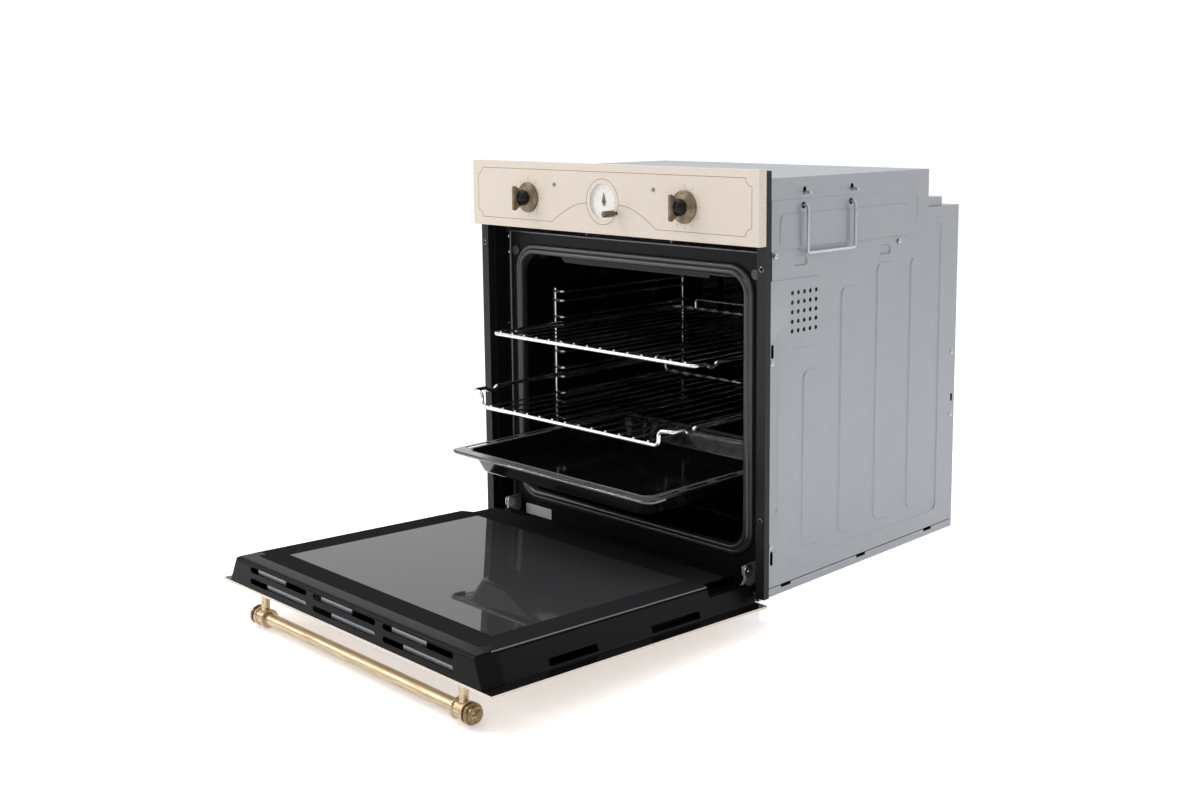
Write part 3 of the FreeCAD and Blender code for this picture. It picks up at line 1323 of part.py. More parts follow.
def blower():
    """Cross flow blower: housing, bladed wheel and motor."""
    half = S.duct_half
    wall = S.bracket_sheet
    low = frame_top
    high = low + S.blower_height
    front = S.blower_setback
    back = front + S.blower_depth
    bore = S.wheel_shaft + S.running_clearance
    shell = box((-half, front, low), (half, back, high))
    room = box((wall - half, front + wall, low + wall), (half - wall, back - wall, high - wall))
    outlet = box((wall - half, front - wall, low + wall),
                 (half - wall, front + wall * 2, low + S.duct_height - wall))
    inlet = box((wall * 4 - half, front + wall * 8, high - wall * 2),
                (half - wall * 4, back - wall * 8, high + wall))
    bearing = rod("x", (-half - wall, blower_y, blower_z), half * 2 + wall * 2, bore)
    keep("blower_housing", cut(shell, room, outlet, inlet, bearing))
    motor = rod("x", (half, blower_y, blower_z), S.motor_length, S.motor_radius)
    motor_bore = rod("x", (half - wall, blower_y, blower_z), S.motor_length / 2 + wall * 2, bore)
    keep("blower_motor", cut(motor, motor_bore))
    end = half - wall - S.wheel_gap
    hub_length = S.wheel_blade_depth / 2
    pieces = [
        rod("x", (-half, blower_y, blower_z), half * 2 + S.motor_length / 2, S.wheel_shaft),
        rod("x", (-end, blower_y, blower_z), hub_length, S.wheel_radius),
        rod("x", (end - hub_length, blower_y, blower_z), hub_length, S.wheel_radius),
    ]
    for index in range(BLOWER_BLADES):
        blade = box((-end, blower_y, blower_z), (end, blower_y, blower_z))
        bind(blade, "Width", S.wheel_blade)
        bind(blade, "Height", S.wheel_blade_depth)
        turn = math.radians(360.0 * index / BLOWER_BLADES)
        blade.Placement = Placement(Vector(), Rotation(Vector(1, 0, 0), math.degrees(turn)))
        inner = S.wheel_radius - S.wheel_blade_depth - S.wheel_blade
        place(blade, (-end, blower_y - inner * math.sin(turn), blower_z + inner * math.cos(turn)))
        pieces.append(blade)
    keep("blower_wheel", fuse(*pieces))


def mains_connection():
    """Cover of the mains terminals on the step, and its cable gland."""
    front = top_depth
    back = front + S.cover_depth
    top = deck_height + S.cover_height
    wall = S.bracket_sheet
    east = half_body - S.cover_inset
    west = east - S.cover_width
    outer = box((west, front, deck_height), (east, back, top))
    inner = box((west + wall, front - wall, deck_height - wall), (east - wall, back - wall, top - wall))
    middle = east - S.cover_width / 2
    height = deck_height + S.cover_height / 2
    opening = rod("y", (middle, back - wall * 2, height), wall * 3, S.gland_bore + S.bracket_gap)
    keep("terminal_cover", cut(outer, inner, opening))
    gland = fuse(
        rod("y", (middle, back, height), S.gland_length, S.gland_radius - wall),
        rod("y", (middle, back, height), S.gland_length / 3, S.gland_radius),
    )
    bore = rod("y", (middle, back - wall, height), S.gland_length + wall * 2, S.gland_bore)
    keep("cable_gland", cut(gland, bore))


# Hinges


def hinge_arm(name, side):
    """Hinge arm hooked into the body, with the eye that the door's pin turns in."""
    body = new_body(f"{name}_hinge_arm_plate")
    z_axis = S.hinge_height
    outline = sketch_on(body, "side", side * hinge_side - S.arm_sheet / 2)
    front = S.frame_setback - S.arm_front
    add_polygon(outline, [
        (hinge_y + S.arm_tangent, z_axis - S.arm_tangent),
        (S.frame_setback - S.receiver_gap, S.arm_bottom),
        (frame_back + S.arm_reach, S.arm_bottom),
        (frame_back + S.arm_reach, S.arm_top),
        (front, S.arm_top),
        (front, S.arm_chin),
        (hinge_y - S.arm_tangent, z_axis + S.arm_tangent),
    ])
    pad(body, outline, S.arm_sheet)
    start = side * hinge_side - S.arm_sheet / 2
    eye = rod("x", (start, hinge_y, z_axis), S.arm_sheet, S.arm_radius)
    bore = rod("x", (start - S.sheet, hinge_y, z_axis), S.arm_sheet + S.sheet * 2,
               S.pin_radius + S.running_clearance)
    keep(f"{name}_hinge_arm", cut(fuse(body, eye), bore))


def hinge_receivers():
    """Two brackets behind the front frame that the hinge arms hook into."""
    receivers = []
    for _, side in SIDES:
        middle = side * hinge_side
        room = S.arm_sheet / 2 + S.receiver_gap
        wall = S.channel_sheet
        low = S.arm_bottom - S.receiver_gap
        high = S.arm_top + S.receiver_gap
        outer = box((middle - room - wall, frame_back, low - wall),
                    (middle + room + wall, frame_back + S.receiver_depth, high + wall))
        inner = box((middle - room, frame_back - wall, low),
                    (middle + room, frame_back + S.receiver_depth, high))
        receivers.append(cut(outer, inner))
    keep("hinge_receivers", gather(*receivers))


def hinge_channels():
    """Two channels inside the door that hold the hinge pins and springs."""
    channels = []
    for _, side in SIDES:
        middle = side * hinge_side
        inner = S.channel_half
        outer = S.channel_half + S.channel_sheet
        web = channel_web - S.channel_sheet
        edge = web + S.channel_depth
        walls = fuse(
            box((middle - outer, web, S.stile_bottom), (middle + outer, channel_web, S.channel_top)),
            box((middle - outer, web, S.stile_bottom), (middle - inner, edge, S.channel_top)),
            box((middle + inner, web, S.stile_bottom), (middle + outer, edge, S.channel_top)),
        )
        bore = rod("x", (middle - outer * 2, hinge_y, S.hinge_height), outer * 4,
                   S.pin_radius + S.running_clearance)
        channels.append(cut(walls, bore))
    keep("hinge_channels", open_door(gather(*channels)))


def hinge_pins():
    """Two hinge pins with heads outside their channels."""
    pins = []
    half = S.channel_half + S.channel_sheet
    for _, side in SIDES:
        middle = side * hinge_side
        pins.append(fuse(
            rod("x", (middle - half - S.pin_head_height, hinge_y, S.hinge_height),
                half * 2 + S.pin_head_height * 2, S.pin_radius),
            rod("x", (middle - half - S.pin_head_height, hinge_y, S.hinge_height), S.pin_head_height,
                S.pin_head_radius),
            rod("x", (middle + half, hinge_y, S.hinge_height), S.pin_head_height, S.pin_head_radius),
        ))
    keep("hinge_pins", open_door(gather(*pins)))


def hinge_springs():
    """Two closing springs in the hinge channels, as their outer sleeves."""
    springs = []
    for _, side in SIDES:
        start = (side * hinge_side, channel_web + S.spring_radius + S.spring_gap, S.spring_start)
        bore_start = (start[0], start[1], S.spring_start - S.sheet)
        springs.append(cut(
            rod("z", start, S.spring_length, S.spring_radius),
            rod("z", bore_start, S.spring_length + S.sheet * 2, S.spring_radius - S.spring_wire),
        ))
    keep("hinge_springs", open_door(gather(*springs)))


# Door, drawn closed


def door_outer_panel():
    """Outer glass panel of the door."""
    body = new_body("door_outer_panel")
    outline = sketch_on(body, "front", door_front)
    add_polygon(outline, [
        (-half_front, S.door_bottom),
        (half_front, S.door_bottom),
        (half_front, door_top),
        (-half_front, door_top),
    ])
    pad(body, outline, S.door_glass, backwards=True)
    keep("door_outer_panel", open_door(body))


def door_inner_glass():
    """Inner glass with its lower corners cut back for the hinges."""
    body = new_body("door_inner_glass")
    half = cavity_half + S.inner_glass_overlap
    narrow = half - S.inner_notch_width
    top = door_top - S.inner_glass_top_gap
    outline = sketch_on(body, "front", glass_seat)
    add_polygon(outline, [
        (-narrow, S.inner_glass_bottom),
        (narrow, S.inner_glass_bottom),
        (narrow, S.inner_notch_top - S.inner_notch_width / 2),
        (half, S.inner_notch_top),
        (half, top),
        (-half, top),
        (-half, S.inner_notch_top),
        (-narrow, S.inner_notch_top - S.inner_notch_width / 2),
    ])
    pad(body, outline, S.door_glass, backwards=True)
    keep("door_inner_glass", open_door(body))


def door_stile(name, side):
    """Leaning channel down one side of the door, open round the hinge."""
    body = new_body(f"{name}_door_stile_section")
    wall = S.stile_sheet
    outer = stile_outer
    inner = outer - S.stile_taper
    profile = sketch_on(body, "top", S.stile_bottom)
    add_polygon(profile, [(side * across, along) for across, along in (
        (outer - S.stile_flange, pane_back),
        (outer, pane_back),
        (inner, glass_seat),
        (inner - S.stile_ledge, glass_seat),
        (inner - S.stile_ledge, glass_seat - wall),
        (inner - wall, glass_seat - wall),
        (outer - S.stile_fold, pane_back + wall),
        (outer - S.stile_flange, pane_back + wall),
    )])
    pad(body, profile, cap_under - S.stile_bottom)
    middle = side * hinge_side
    openings = [box(
        (middle - S.arm_opening, channel_web, S.stile_bottom - wall),
        (middle + S.arm_opening, glass_seat + wall, S.inner_notch_top),
    )]
    slot_y = hinge_y - S.stile_slot_width
    slots = (
        (S.stile_slot_low, S.stile_slot_low_length),
        (S.stile_slot_high, S.stile_slot_high_length),
    )
    for low, length in slots:
        openings.append(box(
            (middle if side > 0 else -outer - wall, slot_y, low),
            (outer + wall if side > 0 else middle, slot_y + S.stile_slot_width, low + length),
        ))
    keep(f"{name}_door_stile", open_door(cut(body, *openings)))


def door_top_cap():
    """Cap over the door's top end with two rows of vent slots and an inner lip."""
    body = new_body("door_top_cap_plate")
    outer = stile_outer
    inner = outer - S.stile_taper * (door_inner - pane_back) / (glass_seat - pane_back)
    plate = sketch_on(body, "top", cap_under)
    add_polygon(plate, [(-outer, pane_back), (outer, pane_back), (inner, door_inner), (-inner, door_inner)])
    pad(body, plate, S.cap_sheet)
    slots = sketch_on(body, "top", cap_top)
    for row in range(2):
        low = pane_back + S.cap_slot_first + S.cap_slot_step * row
        for column in (-1, 0, 1):
            west = S.cap_slot_pitch * column - S.cap_slot_length / 2
            east = west + S.cap_slot_length
            add_rounded(slots, west, east, low, low + S.cap_slot_width, S.cap_slot_corner)
    pocket(body, slots, S.cap_sheet * 2)
    lip_front = door_inner - S.cap_sheet
    lip = box((-inner, lip_front, cap_top - S.cap_lip), (inner, door_inner, cap_top))
    keep("door_top_cap", open_door(fuse(body, lip)))


def door_bottom_rail():
    """Angle between the stiles that carries the lower edge of the inner glass."""
    half = hinge_side - S.rail_gap
    floor = box((-half, pane_back, S.rail_bottom), (half, glass_seat, S.rail_bottom + S.stile_sheet))
    wall = box((-half, glass_seat - S.stile_sheet, S.rail_bottom),
               (half, glass_seat, S.rail_bottom + S.rail_height))
    keep("door_bottom_rail", open_door(fuse(floor, wall)))


def handle():
    """Round handle bar on two posts with sleeves, rings and end finials."""
    axis_y = door_front - S.handle_standoff
    height = door_top - S.handle_drop
    half_bar = S.post_spread + S.handle_overhang
    bar = new_body("handle_bar")
    section = sketch_on(bar, "side", -half_bar)
    add_circle(section, (axis_y, height), S.handle_radius)
    pad(bar, section, half_bar * 2)
    keep("handle_bar", open_door(bar))
    posts = []
    finials = []
    for _, side in SIDES:
        middle = side * S.post_spread
        bore = S.handle_radius + S.sleeve_gap
        body = fuse(
            rod("y", (middle, axis_y, height), S.handle_standoff, S.post_radius),
            rod("x", (middle - S.sleeve_half, axis_y, height), S.sleeve_half * 2, S.sleeve_radius),
            rod("x", (middle - S.sleeve_half, axis_y, height), S.ring_width, S.ring_radius),
            rod("x", (middle + S.sleeve_half - S.ring_width, axis_y, height), S.ring_width, S.ring_radius),
        )
        hole = rod("x", (middle - S.sleeve_half * 2, axis_y, height), S.sleeve_half * 4, bore)
        posts.append(cut(body, hole))
        third = S.finial_length / 3
        discs = []
        for step, radius in enumerate((S.finial_radius, S.finial_step, S.finial_tip)):
            along = half_bar + third * step
            low = along if side > 0 else -along - third
            discs.append(rod("x", (low, axis_y, height), third, radius))
        finials.append(fuse(*discs))
    keep("handle_posts", open_door(gather(*posts)))
    keep("handle_finials", open_door(gather(*finials)))


# Carrying bails


def carry_bail(name, side):
    """Wire bail hooked through a side panel, hanging down outside it."""
    outside = half_body + S.bail_standoff
    inside = half_inside - S.bail_inside
    tip = half_body + S.bail_tip
    upper = bail_hole + S.bail_hole_rise
    bar = bail_hole - S.bail_drop
    leg = [(tip, upper), (inside, upper), (inside, bail_hole), (outside, bail_hole), (outside, bar)]
    front = S.bail_front
    rear = S.bail_front + S.bail_span
    points = [point_at(side * across, front, height) for across, height in leg]
    points += [point_at(side * across, rear, height) for across, height in reversed(leg)]
    keep(f"{name}_carry_bail", feature(bent_wire(points, S.bail_wire, S.bail_bend)))


def build():
    """Builds every sub-part."""
    base_tray()
    back_panel()
    top_cover()
    body_screws()
    front_frame()
    door_seal()
    oven_cavity()
    insulation_blanket()
    heater("grill_element", cavity_top - S.grill_drop)
    heater("bottom_element", lower_heater_height())
    grill_shield()
    lamp()
    thermostat_bulb()
    upper_shelf()
    lower_shelf()
    baking_tray()
    control_panel()
    panel_bracket()
    switch("function_selector", -1, round_body=False)
    switch("thermostat", 1, round_body=True)
    knob("function_knob", -1)
    knob("temperature_knob", 1)
    timer()
    pilot_lenses()
    air_channel()
    blower()
    mains_connection()
    hinge_receivers()
    hinge_channels()
    hinge_pins()
    hinge_springs()
    door_outer_panel()
    door_inner_glass()
    door_top_cap()
    door_bottom_rail()
    handle()
    for name, side in SIDES:
        side_panel(name, side)
        side_trim(name, side)
        shelf_ladder(name, side)
        hinge_arm(name, side)
        door_stile(name, side)
        carry_bail(name, side)
    document.recompute()


def check():
    """Stops if an object failed or a sub-part has no valid solid."""
    failed = [item.Label for item in document.Objects if {"Invalid", "Error"} & set(item.State)]
    if failed:
        raise RuntimeError(f"objects failed: {failed}")
    for label, item in nodes.items():
        if item.Shape.isNull() or not item.Shape.Solids or not item.Shape.isValid():
            raise RuntimeError(f"{label} has no valid solid")


def export():
    """Writes each sub-part to its own file."""
    os.makedirs("parts", exist_ok=True)
    for label, item in nodes.items():
        item.Shape.exportStep(os.path.join("parts", f"{label}.step"))
        print(f"{label}: {len(item.Shape.Solids)} solid(s), {item.Shape.Volume / 1000:.1f} cm3")


build()
check()
export()
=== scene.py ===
"""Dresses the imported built-in oven and sets up its studio picture.

The oven stands as in a showroom: door open, both wire shelves and the baking tray drawn out. Sizes are in
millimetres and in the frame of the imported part, with X to the right, Y to the back and Z up.
"""

from __future__ import annotations

import json
import logging
import math
from dataclasses import dataclass
from enum import Enum
from typing import Iterable, Sequence

import bmesh
import bpy
from mathutils import Matrix, Vector
from mathutils.geometry import delaunay_2d_cdt

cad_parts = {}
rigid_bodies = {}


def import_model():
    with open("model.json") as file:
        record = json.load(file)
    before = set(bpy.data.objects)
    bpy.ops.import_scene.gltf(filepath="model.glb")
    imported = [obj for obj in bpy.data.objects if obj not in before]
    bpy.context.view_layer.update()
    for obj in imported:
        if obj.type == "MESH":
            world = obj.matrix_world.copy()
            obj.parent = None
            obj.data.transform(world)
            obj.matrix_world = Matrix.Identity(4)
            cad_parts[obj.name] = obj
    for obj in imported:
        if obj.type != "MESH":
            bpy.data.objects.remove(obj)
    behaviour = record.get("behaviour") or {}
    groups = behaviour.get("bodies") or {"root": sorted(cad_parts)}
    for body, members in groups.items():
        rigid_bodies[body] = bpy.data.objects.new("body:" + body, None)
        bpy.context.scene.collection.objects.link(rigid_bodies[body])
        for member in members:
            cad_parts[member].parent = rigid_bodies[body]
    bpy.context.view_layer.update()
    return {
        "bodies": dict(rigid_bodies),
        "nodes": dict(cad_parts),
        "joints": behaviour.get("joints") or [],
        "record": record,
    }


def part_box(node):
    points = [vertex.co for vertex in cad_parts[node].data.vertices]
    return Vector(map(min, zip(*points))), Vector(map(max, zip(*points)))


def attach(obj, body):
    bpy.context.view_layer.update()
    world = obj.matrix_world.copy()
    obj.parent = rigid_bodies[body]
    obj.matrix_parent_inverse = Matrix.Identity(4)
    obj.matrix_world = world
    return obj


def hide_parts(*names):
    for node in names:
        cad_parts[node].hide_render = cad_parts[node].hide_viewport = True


LOG = logging.getLogger("oven")
MM = 0.001
CHASSIS = "chassis"
DOOR = "door"
SIDES = (("left", -1), ("right", 1))
WHITE = (1.0, 1.0, 1.0, 1.0)
NOISE_RANGE = (0.3, 0.7)  # nearly all values of a noise lie here

# Edges sharper than these angles, in degrees, stay sharp in the shading
FLAT_ANGLE = 20.0
PRESSED_ANGLE = 25.0
BENT_ANGLE = 30.0
MADE_ANGLE = 35.0
WIRE_ANGLE = 40.0
CUT_ANGLE = 50.0
TURNED_ANGLE = 60.0

Point = tuple[float, float, float]
Flat = tuple[float, float]
Tree = bpy.types.NodeTree
Node = bpy.types.Node
Socket = bpy.types.NodeSocket
Object = bpy.types.Object
Mesh = bpy.types.Mesh
Material = bpy.types.Material


class Axis(Enum):
    """Directions that turned pieces point along and plates face."""

    RIGHT = (1.0, 0.0, 0.0)
    BACK = (0.0, 1.0, 0.0)
    UP = (0.0, 0.0, 1.0)


@dataclass(frozen=True)
class DoorSwing:
    """The door's hinge axis and its open angle."""

    axis_y: float = -11.3
    axis_z: float = 11.8
    angle: float = 87.2

    def opening(self) -> Matrix:
        """Returns the move from the closed to the open door."""
        centre = Matrix.Translation((0.0, self.axis_y, self.axis_z))
        return centre @ Matrix.Rotation(math.radians(self.angle), 4, "X") @ centre.inverted()

    def closing(self) -> Matrix:
        """Returns the move from the open to the closed door."""
        return self.opening().inverted()


# Nodes and colours


def linear_colour(code: str) -> tuple[float, float, float, float]:
    """Turns an sRGB hex colour to linear.

    Args:
        code: the colour as #RRGGBB.

    Returns:
        Red, green, blue and a full alpha.
    """
    parts = [int(code[start:start + 2], 16) / 255 for start in (1, 3, 5)]
    values = [part / 12.92 if part <= 0.04045 else ((part + 0.055) / 1.055) ** 2.4 for part in parts]
    return (values[0], values[1], values[2], 1.0)


def add_node(tree: Tree, kind: str, settings: dict | None = None, links: dict | None = None) -> Node:
    """Adds one node with its settings and links.

    Args:
        tree: the node tree.
        kind: the node's type name.
        settings: properties of the node, by name.
        links: a value or an output socket for each input, by name or index.

    Returns:
        The new node.
    """
    node = tree.nodes.new(kind)
    for name, value in (settings or {}).items():
        setattr(node, name, value)
    for name, value in (links or {}).items():
        if isinstance(value, Socket):
            tree.links.new(value, node.inputs[name])
        else:
            node.inputs[name].default_value = value
    return node


@dataclass(frozen=True)
class Surface:
    """The nodes of one material, with short ways to add the usual ones.

    The place is the socket of the Object coordinates in millimetres.
    """

    tree: Tree
    shader: Node
    place: Socket

    def noise(self, size: float, detail: float = 2.0, roughness: float = 0.5,
              place: Socket | None = None) -> Socket:
        """Adds a cloudy noise.

        Args:
            size: size of the clouds in millimetres.
            detail: how many finer layers it has.
            roughness: how strong the finer layers are.
            place: coordinates to use in the place of the plain ones.

        Returns:
            The noise's value.
        """
        node = add_node(self.tree, "ShaderNodeTexNoise", None, {
            "Vector": self.place if place is None else place, "Scale": 1 / size, "Detail": detail,
            "Roughness": roughness})
        return node.outputs["Fac"]

    def span(self, value: Socket, source: Flat, target: Flat = (0.0, 1.0), smooth: bool = False) -> Socket:
        """Maps one range of values to another.

        Args:
            value: the value to map.
            source: start and end of its range.
            target: start and end of the new range.
            smooth: eases both ends.

        Returns:
            The mapped value.
        """
        kind = {"interpolation_type": "SMOOTHSTEP" if smooth else "LINEAR"}
        node = add_node(self.tree, "ShaderNodeMapRange", kind, {
            "Value": value, "From Min": source[0], "From Max": source[1],
            "To Min": target[0], "To Max": target[1]})
        return node.outputs["Result"]

    def blend(self, share: Socket, first: str | Socket, second: str | Socket) -> Socket:
        """Mixes two colours.

        Args:
            share: how much of the second colour shows.
            first: a colour as #RRGGBB, or a socket that gives one.
            second: the other colour, given in the same way.

        Returns:
            The mixed colour.
        """
        colours = [linear_colour(colour) if isinstance(colour, str) else colour for colour in (first, second)]
        node = add_node(self.tree, "ShaderNodeMix", {"data_type": "RGBA"},
                        {"Factor": share, 6: colours[0], 7: colours[1]})
        return node.outputs[2]

    def combine(self, operation: str, first: Socket, second: Socket | float = 0.0) -> Socket:
        """Adds one sum.

        Args:
            operation: the name of the sum.
            first: the first value.
            second: the second value, if the sum has one.

        Returns:
            The result.
        """
        node = add_node(self.tree, "ShaderNodeMath", {"operation": operation}, {0: first, 1: second})
        return node.outputs[0]

    def drive(self, name: str, value: Socket) -> None:
        """Leads a value to one input of the shader."""
        self.tree.links.new(value, self.shader.inputs[name])

    def gloss(self, value: Socket, smoothest: float, roughest: float) -> None:
        """Lets a noise change the roughness between two values."""
        self.drive("Roughness", self.span(value, NOISE_RANGE, (smoothest, roughest)))

    def bump(self, height: Socket, strength: float, distance: float) -> None:
        """Lets a noise dent the surface.

        Args:
            height: the noise.
            strength: share of the full effect.
            distance: depth of the dents in metres.
        """
        node = add_node(self.tree, "ShaderNodeBump", None,
                        {"Height": height, "Strength": strength, "Distance": distance})
        self.drive("Normal", node.outputs["Normal"])

    def closed_door(self) -> Node:
        """Turns the coordinates back to the closed door.

        Returns:
            A node with the closed door's X, Y and Z.
        """
        closed = DoorSwing().closing()
        turned = add_node(self.tree, "ShaderNodeMapping", None, {
            "Vector": self.place, "Location": closed.translation, "Rotation": closed.to_euler()})
        return add_node(self.tree, "ShaderNodeSeparateXYZ", None, {"Vector": turned.outputs["Vector"]})


# Finishes


@dataclass(frozen=True)
class Finish:
    """A finish: its name, its colour and how it reflects.

    Subclasses add the pattern that the real material shows.
    """

    name: str
    colour: str
    roughness: float
    metallic: float = 0.0
    specular: float = 0.5

    def build(self) -> Material:
        """Builds the node material.

        Returns:
            The material, with its pattern on Object coordinates in millimetres.
        """
        material = bpy.data.materials.new(self.name)
        material.use_nodes = True
        tree = material.node_tree
        shader = tree.nodes["Principled BSDF"]
        shader.inputs["Base Color"].default_value = linear_colour(self.colour)
        shader.inputs["Roughness"].default_value = self.roughness
        shader.inputs["Metallic"].default_value = self.metallic
        shader.inputs["Specular IOR Level"].default_value = self.specular
        coordinates = add_node(tree, "ShaderNodeTexCoord")
        place = add_node(tree, "ShaderNodeVectorMath", {"operation": "SCALE"},
                         {0: coordinates.outputs["Object"], "Scale": 1 / MM})
        self.pattern(Surface(tree, shader, place.outputs[0]))
        return material

    def pattern(self, surface: Surface) -> None:
        """Adds the pattern; a plain finish only gets a slight change of gloss."""
        surface.gloss(surface.noise(9.0, 3.0), self.roughness * 0.85, min(1.0, self.roughness * 1.2))


@dataclass(frozen=True)
class Galvanised(Finish):
    """Hot dipped sheet steel: soft grey clouds and a fine rolled grain."""

    dark: str = "#9DA1A7"
    cloud_mm: float = 55.0
    grain_mm: float = 1.6

    def pattern(self, surface: Surface) -> None:
        """Adds the clouds to the colour and the grain to gloss and bump.

        Args:
            surface: the material's nodes.
        """
        cloud = surface.noise(self.cloud_mm, roughness=0.4)
        surface.drive("Base Color", surface.blend(cloud, self.dark, self.colour))
        grain = surface.noise(self.grain_mm)
        surface.gloss(grain, self.roughness - 0.06, self.roughness + 0.08)
        surface.bump(grain, 0.04, 0.0004)


@dataclass(frozen=True)
class SpeckledEnamel(Finish):
    """Sprayed enamel with fine flecks; the flecks are drawn coarse enough to show."""

    fleck: str = "#A8947A"
    bright: str = "#F1EADF"
    fleck_mm: float = 1.5
    fleck_share: float = 0.36
    peel_mm: float = 2.4

    def pattern(self, surface: Surface) -> None:
        """Adds dark and bright flecks to the colour and an orange peel to the surface.

        Args:
            surface: the material's nodes.
        """
        flecks = surface.noise(self.fleck_mm, 1.0)
        dark = surface.span(flecks, (self.fleck_share, self.fleck_share - 0.08), (0.0, 0.75))
        light = surface.span(flecks, (1 - self.fleck_share, 1.08 - self.fleck_share), (0.0, 0.6))
        spotted = surface.blend(dark, self.colour, self.fleck)
        surface.drive("Base Color", surface.blend(light, spotted, self.bright))
        surface.bump(surface.noise(self.peel_mm), 0.06, 0.0004)


@dataclass(frozen=True)
class BackedGlass(SpeckledEnamel):
    """Door pane in the panel's cream, with a black coat on its inner face."""

    backing: str = "#0E0E0F"
    backing_y: float = -23.3

    def pattern(self, surface: Surface) -> None:
        """Adds the cream flecks, then the black coat behind the pane.

        Args:
            surface: the material's nodes.
        """
        super().pattern(surface)
        cream = surface.shader.inputs["Base Color"].links[0].from_socket
        behind = surface.combine("GREATER_THAN", surface.closed_door().outputs["Y"], self.backing_y)
        surface.drive("Base Color", surface.blend(behind, cream, self.backing))


@dataclass(frozen=True)
class GrainedCoat(Finish):
    """Lacquer, rubber or moulded plastic with a fine grain that breaks the highlights."""

    grain_mm: float = 0.9
    depth: float = 0.08

    def pattern(self, surface: Surface) -> None:
        """Adds the grain to the gloss and to the surface.

        Args:
            surface: the material's nodes.
        """
        grain = surface.noise(self.grain_mm)
        surface.gloss(grain, self.roughness * 0.88, min(1.0, self.roughness * 1.15))
        surface.bump(grain, self.depth, 0.0003)


@dataclass(frozen=True)
class AgedMetal(Finish):
    """Brass or bronze with a dark patina in brushed streaks along X."""

    patina: str = "#5D4526"
    streak_mm: Point = (42.0, 1.5, 1.5)
    cover: float = 0.5

    def pattern(self, surface: Surface) -> None:
        """Adds the streaks to colour, gloss and surface.

        Args:
            surface: the material's nodes.
        """
        stretch = add_node(surface.tree, "ShaderNodeVectorMath", {"operation": "DIVIDE"},
                           {0: surface.place, 1: self.streak_mm})
        streaks = surface.noise(1.0, 3.0, place=stretch.outputs[0])
        share = surface.span(streaks, (self.cover - 0.12, self.cover + 0.16))
        surface.drive("Base Color", surface.blend(share, self.patina, self.colour))
        surface.drive("Roughness", surface.span(share, (0.0, 1.0), (self.roughness + 0.15, self.roughness)))
        surface.bump(streaks, 0.08, 0.0003)


@dataclass(frozen=True)
class PrintedGlass(Finish):
    """Door glass with a dark printed border round a half silvered grey window."""

    window: str = "#373638"
    mirror: float = 0.88
    half_width: float = 223.0
    low: float = 95.0
    high: float = 432.0
    fade: float = 1.0

    def pattern(self, surface: Surface) -> None:
        """Adds the window to the colour and its clear gloss, in the coordinates of the closed door.

        Args:
            surface: the material's nodes.
        """
        door = surface.closed_door()
        across = surface.combine("ABSOLUTE", door.outputs["X"])
        limits = (
            (across, (self.half_width + self.fade, self.half_width - self.fade)),
            (door.outputs["Z"], (self.low - self.fade, self.low + self.fade)),
            (door.outputs["Z"], (self.high + self.fade, self.high - self.fade)),
        )
        first, *others = [surface.span(value, edge, smooth=True) for value, edge in limits]
        inside = first
        for other in others:
            inside = surface.combine("MULTIPLY", inside, other)
        surface.drive("Base Color", surface.blend(inside, self.colour, self.window))
        surface.shader.inputs["Coat Roughness"].default_value = 0.03
        surface.drive("Coat Weight", surface.span(inside, (0.0, 1.0), (0.0, self.mirror)))
        surface.gloss(surface.noise(35.0, 3.0), self.roughness, self.roughness + 0.05)


@dataclass(frozen=True)
class ClearGlass(Finish):
    """Clear pressed glass."""

    def pattern(self, surface: Surface) -> None:
        """Lets light through and adds the ripple of pressed glass.

        Args:
            surface: the material's nodes.
        """
        surface.shader.inputs["Transmission Weight"].default_value = 0.9
        surface.shader.inputs["IOR"].default_value = 1.47
        surface.bump(surface.noise(5.0), 0.05, 0.0005)


